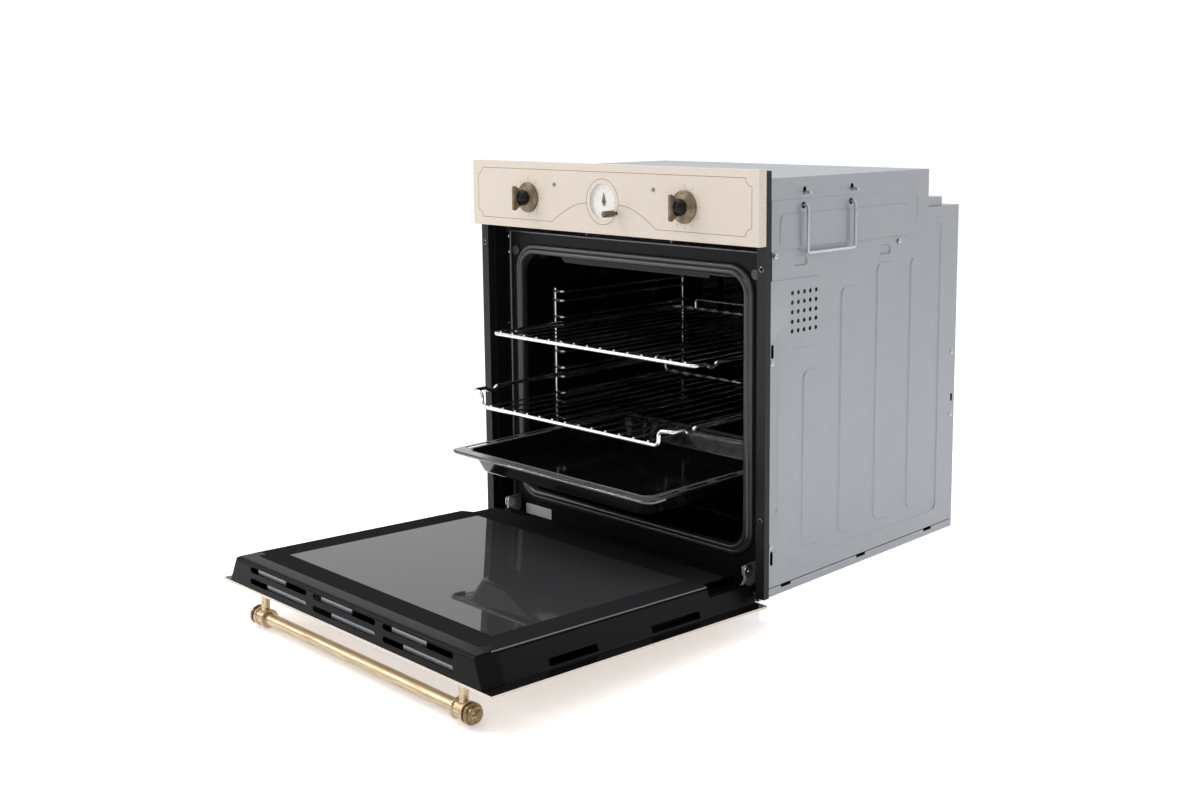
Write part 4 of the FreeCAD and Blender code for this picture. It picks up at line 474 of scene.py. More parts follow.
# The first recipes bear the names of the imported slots, the later ones are for single pieces
RECIPES: tuple[Finish, ...] = (
    # Body sheet: a cool pale grey with soft clouds, between mirror and matt
    Galvanised("galvanised_steel", "#9DA1A6", 0.4, metallic=0.65, dark="#989CA1", cloud_mm=24.0),
    # Control panel: warm cream with fine dark and light flecks
    SpeckledEnamel("cream_enamel", "#CEC2B6", 0.42, specular=0.35),
    # Cavity: a deep wet black that mirrors the wires
    GrainedCoat("black_enamel", "#08080A", 0.06, specular=0.3, grain_mm=6.0, depth=0.02),
    # Door frame: a dull black that swallows light
    GrainedCoat("black_lacquer", "#0C0C0D", 0.38, specular=0.11),
    # Outer pane: glossy cream outside and black behind
    BackedGlass("cream_glass", "#D2C6BA", 0.14),
    # Inner pane: a black border round a grey window with a mirror sheen
    PrintedGlass("smoked_glass", "#242325", 0.5, specular=0.0),
    # Lamp cover: clear, with a slight ripple
    ClearGlass("clear_glass", "#EEF2F0", 0.08),
    # Shelves and ladders: bright thin highlights on dark
    Finish("chromed_wire", "#E0E2E4", 0.2, metallic=1.0),
    # Seal: dark grey with a soft shine along its lip
    GrainedCoat("seal_rubber", "#2A2B2E", 0.3, specular=0.55, grain_mm=1.4, depth=0.06),
    # Handle: pale gold with darker brushed streaks
    AgedMetal("aged_brass", "#CBB898", 0.3, metallic=1.0, patina="#A08D70", cover=0.42),
    # Knobs: brown metal under a cloudy patina
    AgedMetal("aged_bronze", "#85755F", 0.42, metallic=0.7, patina="#6F604E", streak_mm=(9.0, 9.0, 9.0)),
    # Knob bosses: black with a soft round highlight
    GrainedCoat("black_plastic", "#0D0D0E", 0.38, specular=0.28, grain_mm=1.2, depth=0.03),
    # Dial: a matt white that stays even
    GrainedCoat("white_plastic", "#DCD9D5", 0.5, grain_mm=1.2, depth=0.03),
    # Small moulded parts: a plain mid grey
    GrainedCoat("grey_plastic", "#8A8C8E", 0.5),
    # Insulation: matt yellow brown fibres, seen through the vents
    GrainedCoat("mineral_wool", "#C9B88F", 0.9, grain_mm=3.0, depth=0.6),
    # Heaters: dark steel, dulled by heat
    Finish("heater_steel", "#4B4846", 0.4, metallic=0.8),
    # Screws, bails and levers: light grey with a sharp glint
    Finish("zinc_steel", "#B9BDC2", 0.3, metallic=0.9),
    # Front frame: black, slightly paler than the door's
    GrainedCoat("frame_black", "#121214", 0.42, specular=0.12),
    # Side trims: black with a faint sheen
    GrainedCoat("trim_black", "#161618", 0.4, specular=0.24),
    # Beads and rings: the black lacquer in a lighter grey, a painted highlight line along their edges
    GrainedCoat("edge_highlight_grey", "#3A3A3C", 0.22, specular=0.9),
    # Door cap: the darkest black, nearly without a sheen
    GrainedCoat("cap_black", "#0A0A0B", 0.3, specular=0.07),
    # Tray edge roll and well line: the enamel in grey, a painted highlight along the roll and along the
    # well's bend
    GrainedCoat("painted_highlight_enamel", "#6A6A6C", 0.2, specular=1.0, grain_mm=6.0, depth=0.02),
    # Tray: glossy black with clear reflections
    GrainedCoat("tray_enamel", "#0E0E10", 0.08, specular=0.6, grain_mm=6.0, depth=0.02),
    # Tray flange: a grey metal sheet over the black enamel, a painted reflection of the bright surround
    GrainedCoat("painted_sheen_steel", "#9A9B9E", 0.3, metallic=0.8, grain_mm=30.0, depth=0.0),
    # Glass edges: a thin green grey line
    Finish("ground_edge", "#5E6866", 0.3),
    # Hinge arms: soft grey steel without a mirror
    Finish("arm_steel", "#A4A6AA", 0.35, metallic=0.35),
    # Bare plate: light matt grey
    GrainedCoat("plate_grey", "#C4C4C6", 0.5),
    # Finials: darker brass with brown in its grooves
    AgedMetal("dark_brass", "#A08A6C", 0.28, metallic=1.0, patina="#6B583F", cover=0.48),
    # Print on the panel: thin brown ink
    GrainedCoat("print_brown", "#8A7B63", 0.5),
    # Print on the dial: thin grey ink
    GrainedCoat("print_grey", "#8E8F90", 0.5),
)


class Finishes:
    """Every finish of the oven, each built once and kept under its name."""

    def __init__(self) -> None:
        """Builds the materials."""
        self.materials = {recipe.name: recipe.build() for recipe in RECIPES}

    def __getitem__(self, name: str) -> Material:
        """Returns a finish by name."""
        return self.materials[name]


# Outlines


def corners_of(west: float, east: float, south: float, north: float) -> list[Flat]:
    """Returns a rectangle's corners, anticlockwise."""
    return [(west, south), (east, south), (east, north), (west, north)]


def round_outline(centre: Flat, radius: float, steps: int = 16) -> list[Flat]:
    """Returns a circle's points, anticlockwise."""
    turns = [2 * math.pi * index / steps for index in range(steps)]
    return [(centre[0] + radius * math.cos(turn), centre[1] + radius * math.sin(turn)) for turn in turns]


def rounded_rectangle(west: float, east: float, south: float, north: float, radius: float,
                      steps: int = 8) -> list[Flat]:
    """Returns a closed outline with round corners, anticlockwise.

    Args:
        west: lowest first coordinate.
        east: highest first coordinate.
        south: lowest second coordinate.
        north: highest second coordinate.
        radius: corner radius.
        steps: arc steps in each corner.

    Returns:
        The outline's points.
    """
    centres = ((east - radius, south + radius), (east - radius, north - radius),
               (west + radius, north - radius), (west + radius, south + radius))
    outline = []
    for corner, centre in enumerate(centres):
        for step in range(steps + 1):
            turn = math.pi / 2 * (corner - 1 + step / steps)
            outline.append((centre[0] + radius * math.cos(turn), centre[1] + radius * math.sin(turn)))
    return outline


def filleted(corners: Sequence[Flat], radius: float, inset: float, steps: int = 6) -> list[Flat]:
    """Returns an anticlockwise outline moved inwards, with a fillet in each corner.

    Args:
        corners: the outline's corners, anticlockwise.
        radius: fillet radius before the move.
        inset: distance to move inwards.
        steps: arc steps in each corner.

    Returns:
        The outline's points.
    """
    outline: list[Flat] = []
    count = len(corners)
    for index in range(count):
        before = Vector(corners[index - 1])
        corner = Vector(corners[index])
        after = Vector(corners[(index + 1) % count])
        arriving = (corner - before).normalized()
        leaving = (after - corner).normalized()
        inward = Vector((-arriving.y, arriving.x)) + Vector((-leaving.y, leaving.x))
        moved = corner + inward * (inset / (1 + arriving.dot(leaving)))
        convex = arriving.x * leaving.y - arriving.y * leaving.x > 0
        bend = max(0.2, radius - inset if convex else radius + inset)
        half = (-arriving).angle(leaving) / 2
        start = moved - arriving * (bend / math.tan(half))
        side = Vector((-arriving.y, arriving.x)) * (1 if convex else -1)
        centre = start + side * bend
        sweep = (math.pi - 2 * half) * (1 if convex else -1)
        spoke = start - centre
        for step in range(steps + 1):
            turn = sweep * step / steps
            outline.append((
                centre.x + spoke.x * math.cos(turn) - spoke.y * math.sin(turn),
                centre.y + spoke.x * math.sin(turn) + spoke.y * math.cos(turn),
            ))
    return outline


def is_inside(point: Flat, outline: Sequence[Flat]) -> bool:
    """Tells whether a point lies inside a closed outline.

    Args:
        point: the point.
        outline: the outline's points.

    Returns:
        True if it lies inside.
    """
    inside = False
    previous = outline[-1]
    for current in outline:
        if (current[1] > point[1]) != (previous[1] > point[1]):
            slope = (previous[0] - current[0]) / (previous[1] - current[1])
            if point[0] < current[0] + slope * (point[1] - current[1]):
                inside = not inside
        previous = current
    return inside


# Meshes


class Shape:
    """Collects vertices in millimetres and faces, and turns them into one piece."""

    def __init__(self) -> None:
        """Starts empty."""
        self.points: list[Point] = []
        self.faces: list[tuple[int, ...]] = []

    def add(self, points: Iterable[Sequence[float]], faces: Iterable[Sequence[int]]) -> None:
        """Adds points and the faces between them.

        Args:
            points: the new points.
            faces: indices into the new points.
        """
        offset = len(self.points)
        self.points.extend(tuple(point) for point in points)
        self.faces.extend(tuple(index + offset for index in face) for face in faces)

    def loft(self, rings: Sequence[Sequence[Point]], closed: bool = False) -> None:
        """Joins rings of points into a skin.

        Args:
            rings: rings with as many points each.
            closed: joins the last ring to the first; otherwise both ends are capped.
        """
        size = len(rings[0])
        count = len(rings)
        faces: list[tuple[int, ...]] = []
        for ring in range(count if closed else count - 1):
            low = ring * size
            high = (ring + 1) % count * size
            for index in range(size):
                following = (index + 1) % size
                faces.append((low + index, low + following, high + following, high + index))
        if not closed:
            faces.append(tuple(reversed(range(size))))
            faces.append(tuple(range((count - 1) * size, count * size)))
        self.add([point for ring in rings for point in ring], faces)

    def lathe(self, profile: Sequence[Flat], origin: Point, axis: Axis, segments: int = 48,
              closed: bool = False) -> None:
        """Turns a profile of radius and distance about an axis.

        Args:
            profile: radius and distance along the axis, from end to end.
            origin: the point that distances start from.
            axis: the axis's direction.
            segments: facets round the axis.
            closed: makes a ring with an open middle; otherwise both ends are capped.
        """
        along = Vector(axis.value)
        first = along.orthogonal().normalized()
        second = along.cross(first)
        rings = []
        for radius, distance in profile:
            centre = Vector(origin) + along * distance
            rings.append([
                tuple(centre + first * (radius * math.cos(turn)) + second * (radius * math.sin(turn)))
                for turn in (2 * math.pi * index / segments for index in range(segments))
            ])
        self.loft(rings, closed)

    def slab(self, outline: Sequence[Point], offset: Point) -> None:
        """Raises a flat outline into a plate."""
        moved = [tuple(Vector(point) + Vector(offset)) for point in outline]
        self.loft([list(outline), moved])

    def plate(self, outline: Sequence[Flat], axis: Axis, level: float, thickness: float) -> None:
        """Raises an outline, drawn square to an axis, into a plate.

        Args:
            outline: the outline, in the two other axes in the order of X, Y and Z.
            axis: the axis that the plate faces.
            level: the outline's place on that axis.
            thickness: how far the plate rises along the axis; less than 0 for the other way.
        """
        if axis is Axis.RIGHT:
            points = [(level, first, second) for first, second in outline]
        elif axis is Axis.BACK:
            points = [(first, level, second) for first, second in outline]
        else:
            points = [(first, second, level) for first, second in outline]
        self.slab(points, tuple(part * thickness for part in axis.value))

    def ribbon(self, path: Sequence[Point], width: float, height: float, closed: bool = False) -> None:
        """Lays a printed line along a path on a face that looks to the front.

        Args:
            path: the line's points.
            width: the line's width.
            height: how far the print stands off the face.
            closed: joins the line's end to its start.
        """
        rings = []
        last = len(path) - 1
        front = Vector((0, -height, 0))
        for index, point in enumerate(path):
            before = Vector(path[index - 1 if closed else max(0, index - 1)])
            after = Vector(path[(index + 1) % len(path) if closed else min(last, index + 1)])
            run = (after - before).normalized()
            side = Vector((-run.z, 0, run.x)) * (width / 2)
            left = Vector(point) + side
            right = Vector(point) - side
            rings.append([tuple(corner) for corner in (left, right, right + front, left + front)])
        self.loft(rings, closed)

    def turned(self, matrix: Matrix) -> Shape:
        """Moves every point by a matrix."""
        self.points = [tuple(matrix @ Vector(point)) for point in self.points]
        return self

    def piece(self, name: str, material: Material, angle: float = MADE_ANGLE) -> Object:
        """Makes the mesh object.

        Args:
            name: the object's name.
            material: its finish.
            angle: edges sharper than this, in degrees, stay sharp.

        Returns:
            The new object, at the origin with its place in its mesh.
        """
        mesh = bpy.data.meshes.new(name)
        mesh.from_pydata([tuple(value * MM for value in point) for point in self.points], [], self.faces)
        return finish_mesh(name, mesh, material, angle)


def new_object(name: str, data: bpy.types.ID) -> Object:
    """Makes an object and links it to the scene.

    Args:
        name: the object's name.
        data: its mesh, curve, light or camera.

    Returns:
        The new object.
    """
    thing = bpy.data.objects.new(name, data)
    bpy.context.scene.collection.objects.link(thing)
    return thing


def finish_mesh(name: str, mesh: Mesh, material: Material, angle: float, merge: float = 1e-6) -> Object:
    """Cleans a mesh, points its faces outwards and makes its object.

    Args:
        name: the object's name.
        mesh: the mesh, in metres.
        material: its finish.
        angle: edges sharper than this, in degrees, stay sharp.
        merge: points closer than this, in metres, are joined.

    Returns:
        The new object.
    """
    work = bmesh.new()
    work.from_mesh(mesh)
    bmesh.ops.remove_doubles(work, verts=work.verts, dist=merge)
    bmesh.ops.dissolve_degenerate(work, edges=work.edges, dist=merge)
    bmesh.ops.recalc_face_normals(work, faces=work.faces)
    work.to_mesh(mesh)
    work.free()
    for polygon in mesh.polygons:
        polygon.use_smooth = True
    mesh.set_sharp_from_angle(angle=math.radians(angle))
    mesh.materials.clear()
    mesh.materials.append(material)
    return new_object(name, mesh)


def evaluated_mesh(piece: Object) -> Mesh:
    """Returns a plain mesh of an object with its modifiers applied."""
    depsgraph = bpy.context.evaluated_depsgraph_get()
    return bpy.data.meshes.new_from_object(piece.evaluated_get(depsgraph))


def discard(piece: Object) -> None:
    """Removes a helper object."""
    bpy.data.objects.remove(piece, do_unlink=True)


def carved(name: str, body: Object, cutter: Object) -> Object:
    """Cuts one solid out of another.

    Args:
        name: the new piece's name.
        body: the solid to cut; it is removed.
        cutter: the solid that is taken away; it is removed.

    Returns:
        The cut piece, in the body's finish.
    """
    cut = body.modifiers.new("cut", "BOOLEAN")
    cut.object = cutter
    cut.solver = "EXACT"
    mesh = evaluated_mesh(body)
    material = body.data.materials[0]
    discard(body)
    discard(cutter)
    return finish_mesh(name, mesh, material, CUT_ANGLE)


def join(name: str, parts: Sequence[Object]) -> Object:
    """Joins pieces of one finish into one piece.

    Args:
        name: the joined piece's name.
        parts: the pieces; they are removed.

    Returns:
        The joined piece.
    """
    work = bmesh.new()
    for part in parts:
        work.from_mesh(part.data)
    mesh = bpy.data.meshes.new(name)
    work.to_mesh(mesh)
    work.free()
    material = parts[0].data.materials[0]
    for part in parts:
        discard(part)
    return finish_mesh(name, mesh, material, WIRE_ANGLE)


@dataclass
class Dresser:
    """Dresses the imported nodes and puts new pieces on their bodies."""

    nodes: dict[str, Object]
    body_of: dict[str, str]
    slot_of: dict[str, str]
    finishes: Finishes
    rounded_angle: float = 35.0
    flat_limit: float = 0.4
    merge: float = 2e-6

    @classmethod
    def from_frame(cls, frame: dict) -> Dresser:
        """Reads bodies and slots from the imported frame.


        Returns:
            The dresser, with every finish built.
        """
        record = frame["record"]
        body_of = {node: body for body, members in record["behaviour"]["bodies"].items() for node in members}
        slot_of = {entry["node"]: entry["material_slot"] for entry in record["subparts"]}
        return cls(frame["nodes"], body_of, slot_of, Finishes())

    def paint(self, *names: str) -> None:
        """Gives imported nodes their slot's finish and leaves their shape.

        Args:
            names: the nodes.
        """
        for name in names:
            mesh = self.nodes[name].data
            mesh.materials.clear()
            mesh.materials.append(self.finishes[self.slot_of[name]])
            LOG.info("%s keeps its solid", name)

    def soften(self, name: str, width: float, finish: str | None = None) -> None:
        """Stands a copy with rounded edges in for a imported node.

        Args:
            name: the node.
            width: width of the rounding in millimetres; 0 only smooths the shading.
            finish: a finish other than the one named by the node's slot.
        """
        work = bmesh.new()
        work.from_mesh(self.nodes[name].data)
        bmesh.ops.remove_doubles(work, verts=work.verts, dist=self.merge)
        bmesh.ops.dissolve_limit(work, angle_limit=math.radians(self.flat_limit), verts=work.verts,
                                 edges=work.edges)
        mesh = bpy.data.meshes.new(name)
        work.to_mesh(mesh)
        work.free()
        if width > 0:
            helper = new_object(name, mesh)
            rounding = helper.modifiers.new("rounding", "BEVEL")
            rounding.width = width * MM
            rounding.segments = 2
            rounding.limit_method = "ANGLE"
            rounding.angle_limit = math.radians(self.rounded_angle)
            rounding.miter_outer = "MITER_ARC"
            mesh = evaluated_mesh(helper)
            discard(helper)
        piece = finish_mesh(f"{name}_soft", mesh, self.finishes[finish or self.slot_of[name]], FLAT_ANGLE)
        self.stand_in(piece, name)

    def stand_in(self, piece: Object, node: str) -> None:
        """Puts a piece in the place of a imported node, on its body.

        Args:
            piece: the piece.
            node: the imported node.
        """
        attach(piece, self.body_of[node])
        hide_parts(node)
        LOG.info("%s stands for %s", piece.name, node)

    def add(self, piece: Object, body: str, slot: str) -> None:
        """Puts an extra piece on a body.

        Args:
            piece: the piece.
            body: the body that it rides on.
            slot: its material slot; not used.
        """
        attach(piece, body)
        LOG.info("%s rides on %s", piece.name, body)


# Geometry node trees


@dataclass(frozen=True)
class GrowthTree:
    """One geometry node tree with its input and output nodes."""

    tree: Tree
    given: Node
    result: Node

    @classmethod
    def start(cls, name: str, **sizes: str) -> GrowthTree:
        """Starts a tree with named inputs.

        Args:
            name: the tree's name.
            sizes: the kind of each input, by its name.

        Returns:
            The tree, with nothing between its ends.
        """
        tree = bpy.data.node_groups.new(name, "GeometryNodeTree")
        for label, kind in {"Geometry": "Geometry", **sizes, "Finish": "Material"}.items():
            tree.interface.new_socket(label, in_out="INPUT", socket_type=f"NodeSocket{kind}")
        tree.interface.new_socket("Geometry", in_out="OUTPUT", socket_type="NodeSocketGeometry")
        return cls(tree, add_node(tree, "NodeGroupInput"), add_node(tree, "NodeGroupOutput"))

    def value(self, name: str) -> Socket:
        """Returns one of the tree's inputs."""
        return self.given.outputs[name]

    def step(self, kind: str, links: dict, **settings: str) -> Node:
        """Adds one geometry node by its type name without the prefix."""
        return add_node(self.tree, f"GeometryNode{kind}", settings, links)

    def rod(self, curve: Node, facets: int) -> Node:
        """Lays a round section along a curve.

        Args:
            curve: the node that gives the curve.
            facets: facets round the section.

        Returns:
            The node that gives the rod.
        """
        section = self.step("CurvePrimitiveCircle", {"Resolution": facets, "Radius": self.value("Radius")})
        return self.step("CurveToMesh", {
            "Curve": curve.outputs[0], "Profile Curve": section.outputs[0], "Fill Caps": True})

    def end(self, last: Node) -> Tree:
        """Ends the tree in real geometry with its finish.

        Args:
            last: the node that gives the geometry.

        Returns:
            The finished tree.
        """
        real = self.step("RealizeInstances", {"Geometry": last.outputs[0]})
        painted = self.step("SetMaterial", {"Geometry": real.outputs[0], "Material": self.value("Finish")})
        self.tree.links.new(painted.outputs[0], self.result.inputs[0])
        return self.tree


class Growth:
    """Wires and rows of like pieces, grown by geometry node trees."""

    def __init__(self) -> None:
        """Builds the trees."""
        self.wire = self.wire_tree()
        self.row = self.row_tree()
        self.scatter = self.scatter_tree()

    @staticmethod
    def wire_tree() -> Tree:
        """Rounds a path's corners and lays a round wire along it.

        Returns:
            The tree.
        """
        build = GrowthTree.start("bent_wire", Bend="Float", Radius="Float")
        bends = build.step("FilletCurve", {
            "Curve": build.value("Geometry"), "Count": 8, "Radius": build.value("Bend"), "Limit Radius": True,
        }, mode="POLY")
        return build.end(build.rod(bends, 14))

    @staticmethod
    def row_tree() -> Tree:
        """Repeats a straight bar at even steps.

        Returns:
            The tree.
        """
        build = GrowthTree.start("row_of_bars", Start="Vector", Run="Vector", Step="Vector", Count="Int",
                                 Radius="Float")
        bar = build.rod(build.step("CurvePrimitiveLine", {"End": build.value("Run")}), 10)
        places = build.step("MeshLine", {
            "Count": build.value("Count"), "Start Location": build.value("Start"),
            "Offset": build.value("Step"),
        }, mode="OFFSET")
        return build.end(build.step("InstanceOnPoints", {
            "Points": places.outputs[0], "Instance": bar.outputs[0]}))

    @staticmethod
    def scatter_tree() -> Tree:
        """Sets a pattern piece on every point, turned as the point says.

        Returns:
            The tree.
        """
        build = GrowthTree.start("set_on_points", Pattern="Object")
        pattern = build.step("ObjectInfo", {"Object": build.value("Pattern")})
        turn = build.step("InputNamedAttribute", {"Name": "turn"}, data_type="FLOAT_VECTOR")
        return build.end(build.step("InstanceOnPoints", {
            "Points": build.value("Geometry"), "Instance": pattern.outputs["Geometry"],
            "Rotation": turn.outputs["Attribute"]}))

    @staticmethod
    def grow(name: str, base: Object, tree: Tree, values: dict, material: Material) -> Object:
        """Runs a tree on a base object and returns the result as a plain piece.

        Args:
            name: the piece's name.
            base: the object that carries the tree; it is removed.
            tree: the tree.
            values: its inputs, by name.
            material: the finish.

        Returns:
            The new piece.
        """
        modifier = base.modifiers.new(name, "NODES")
        modifier.node_group = tree
        inputs = {**values, "Finish": material}
        for item in tree.interface.items_tree:
            if item.in_out == "INPUT" and item.name in inputs:
                modifier[item.identifier] = inputs[item.name]
        mesh = evaluated_mesh(base)
        discard(base)
        return finish_mesh(name, mesh, material, WIRE_ANGLE)

    def bend(self, name: str, paths: Sequence[Sequence[Point]], diameter: float, bend: float,
             material: Material, cyclic: bool = False) -> Object:
        """Bends round wire along paths.

        Args:
            name: the piece's name.
            paths: corner points of each wire, in millimetres.
            diameter: wire diameter.
            bend: bend radius.
            material: the finish.
            cyclic: joins each wire's end to its start.

        Returns:
            The new piece.
        """
        curve = bpy.data.curves.new(name, "CURVE")
        curve.dimensions = "3D"
        for path in paths:
            spline = curve.splines.new("POLY")
            spline.points.add(len(path) - 1)
            for target, point in zip(spline.points, path):
                target.co = (*(value * MM for value in point), 1.0)
            spline.use_cyclic_u = cyclic
        values = {"Bend": bend * MM, "Radius": diameter / 2 * MM}
        return self.grow(name, new_object(name, curve), self.wire, values, material)

    def bars(self, name: str, start: Point, run: Point, step: Point, count: int, diameter: float,
             material: Material) -> Object:
        """Repeats a straight round bar.

        Args:
            name: the piece's name.
            start: the first bar's start.
            run: from a bar's start to its end.
            step: from one bar to the next.
            count: how many bars.
            diameter: bar diameter.
            material: the finish.

        Returns:
            The new piece.
        """
        values = {key: tuple(value * MM for value in vector)
                  for key, vector in (("Start", start), ("Run", run), ("Step", step))}
        values |= {"Count": count, "Radius": diameter / 2 * MM}
        return self.grow(name, new_object(name, bpy.data.meshes.new(name)), self.row, values, material)

    def set_on(self, name: str, pattern: Object, places: Sequence[tuple[Point, Point]]) -> Object:
        """Sets copies of a pattern piece on points; the pattern is removed.

        Args:
            name: the piece's name.
            pattern: the piece to repeat, drawn about the origin.
            places: position in millimetres and turn in degrees of each copy.

        Returns:
            The new piece, in the pattern's finish.
        """
        mesh = bpy.data.meshes.new(name)
        mesh.from_pydata([tuple(value * MM for value in position) for position, _ in places], [], [])
        turns = mesh.attributes.new("turn", "FLOAT_VECTOR", "POINT")
        for entry, (_, turn) in zip(turns.data, places):
            entry.vector = [math.radians(value) for value in turn]
        material = pattern.data.materials[0]
        piece = self.grow(name, new_object(name, mesh), self.scatter, {"Pattern": pattern}, material)
        discard(pattern)
        return piece


# Sub-assemblies


@dataclass
class SubAssembly:
    """A group of pieces that is dressed together."""

    dresser: Dresser
    growth: Growth

    def build(self) -> None:
        """Builds and dresses the group."""
        raise NotImplementedError

    def finish(self, name: str) -> Material:
        """Returns a finish by name."""
        return self.dresser.finishes[name]

    def soften(self, **widths: float) -> None:
        """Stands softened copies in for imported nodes, each with its rounding in millimetres."""
        for name, width in widths.items():
            self.dresser.soften(name, width)

    def replace(self, node: str, shape: Shape, name: str, finish: str, angle: float = MADE_ANGLE) -> None:
        """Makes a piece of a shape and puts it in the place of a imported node."""
        self.dresser.stand_in(shape.piece(name, self.finish(finish), angle), node)

    def fit(self, shape: Shape, name: str, finish: str, body: str, slot: str) -> None:
        """Makes a piece of a shape and puts it on a body."""
        self.dresser.add(shape.piece(name, self.finish(finish)), body, slot)


@dataclass
class PressedSheet:
    """A flat sheet with pressed steps and holes, drawn in Y and Z."""

    outline: Sequence[Flat]
    slope: float = 1.5
    profile: tuple[Flat, ...] = ((-0.5, 0.0), (-0.3, 0.12), (0.0, 0.5), (0.3, 0.88), (0.5, 1.0))

    def __post_init__(self) -> None:
        """Starts with the bare outline."""
        self.levels: list[float] = []
        self.points: list[Flat] = []
        self.edges: list[tuple[int, int]] = []
        self.holes: list[list[Flat]] = []
        self.trace(self.outline, 0.0)

    def trace(self, outline: Sequence[Flat], level: float) -> None:
        """Adds one closed line at a level.

        Args:
            outline: the line's points.
            level: how far it stands out from the flat sheet.
        """
        first = len(self.points)
        count = len(outline)
        self.points.extend(outline)
        self.levels.extend([level] * count)
        self.edges.extend((first + index, first + (index + 1) % count) for index in range(count))

    def press(self, corners: Sequence[Flat], radius: float, low: float, high: float) -> None:
        """Presses a region from one level to another, with a rounded slope."""
        for share, height in self.profile:
            self.trace(filleted(corners, radius, self.slope * share), low + (high - low) * height)

    def pierce(self, outline: Sequence[Flat], level: float) -> None:
        """Cuts a hole through the sheet."""
        self.trace(outline, level)
        self.holes.append(list(outline))

    def shape(self, face: float, outward: float) -> Shape:
        """Returns the sheet's outer skin.

        Args:
            face: X of level 0.
            outward: 1 if the outside looks along +X, else -1.

        Returns:
            The skin, without thickness.
        """
        found = delaunay_2d_cdt([Vector(point) for point in self.points], self.edges, [], 0, 1e-5, True)
        corners, _, triangles, sources = found[:4]
        points = []
        for corner, source in zip(corners, sources):
            level = self.levels[source[0]] if source else 0.0
            points.append((face + outward * level, corner.x, corner.y))
        kept = []
        for triangle in triangles:
            middle = tuple(sum(corners[index][axis] for index in triangle) / 3 for axis in (0, 1))
            if is_inside(middle, self.outline) and not any(is_inside(middle, hole) for hole in self.holes):
                kept.append(triangle)
        skin = Shape()
        skin.add(points, kept)
        return skin


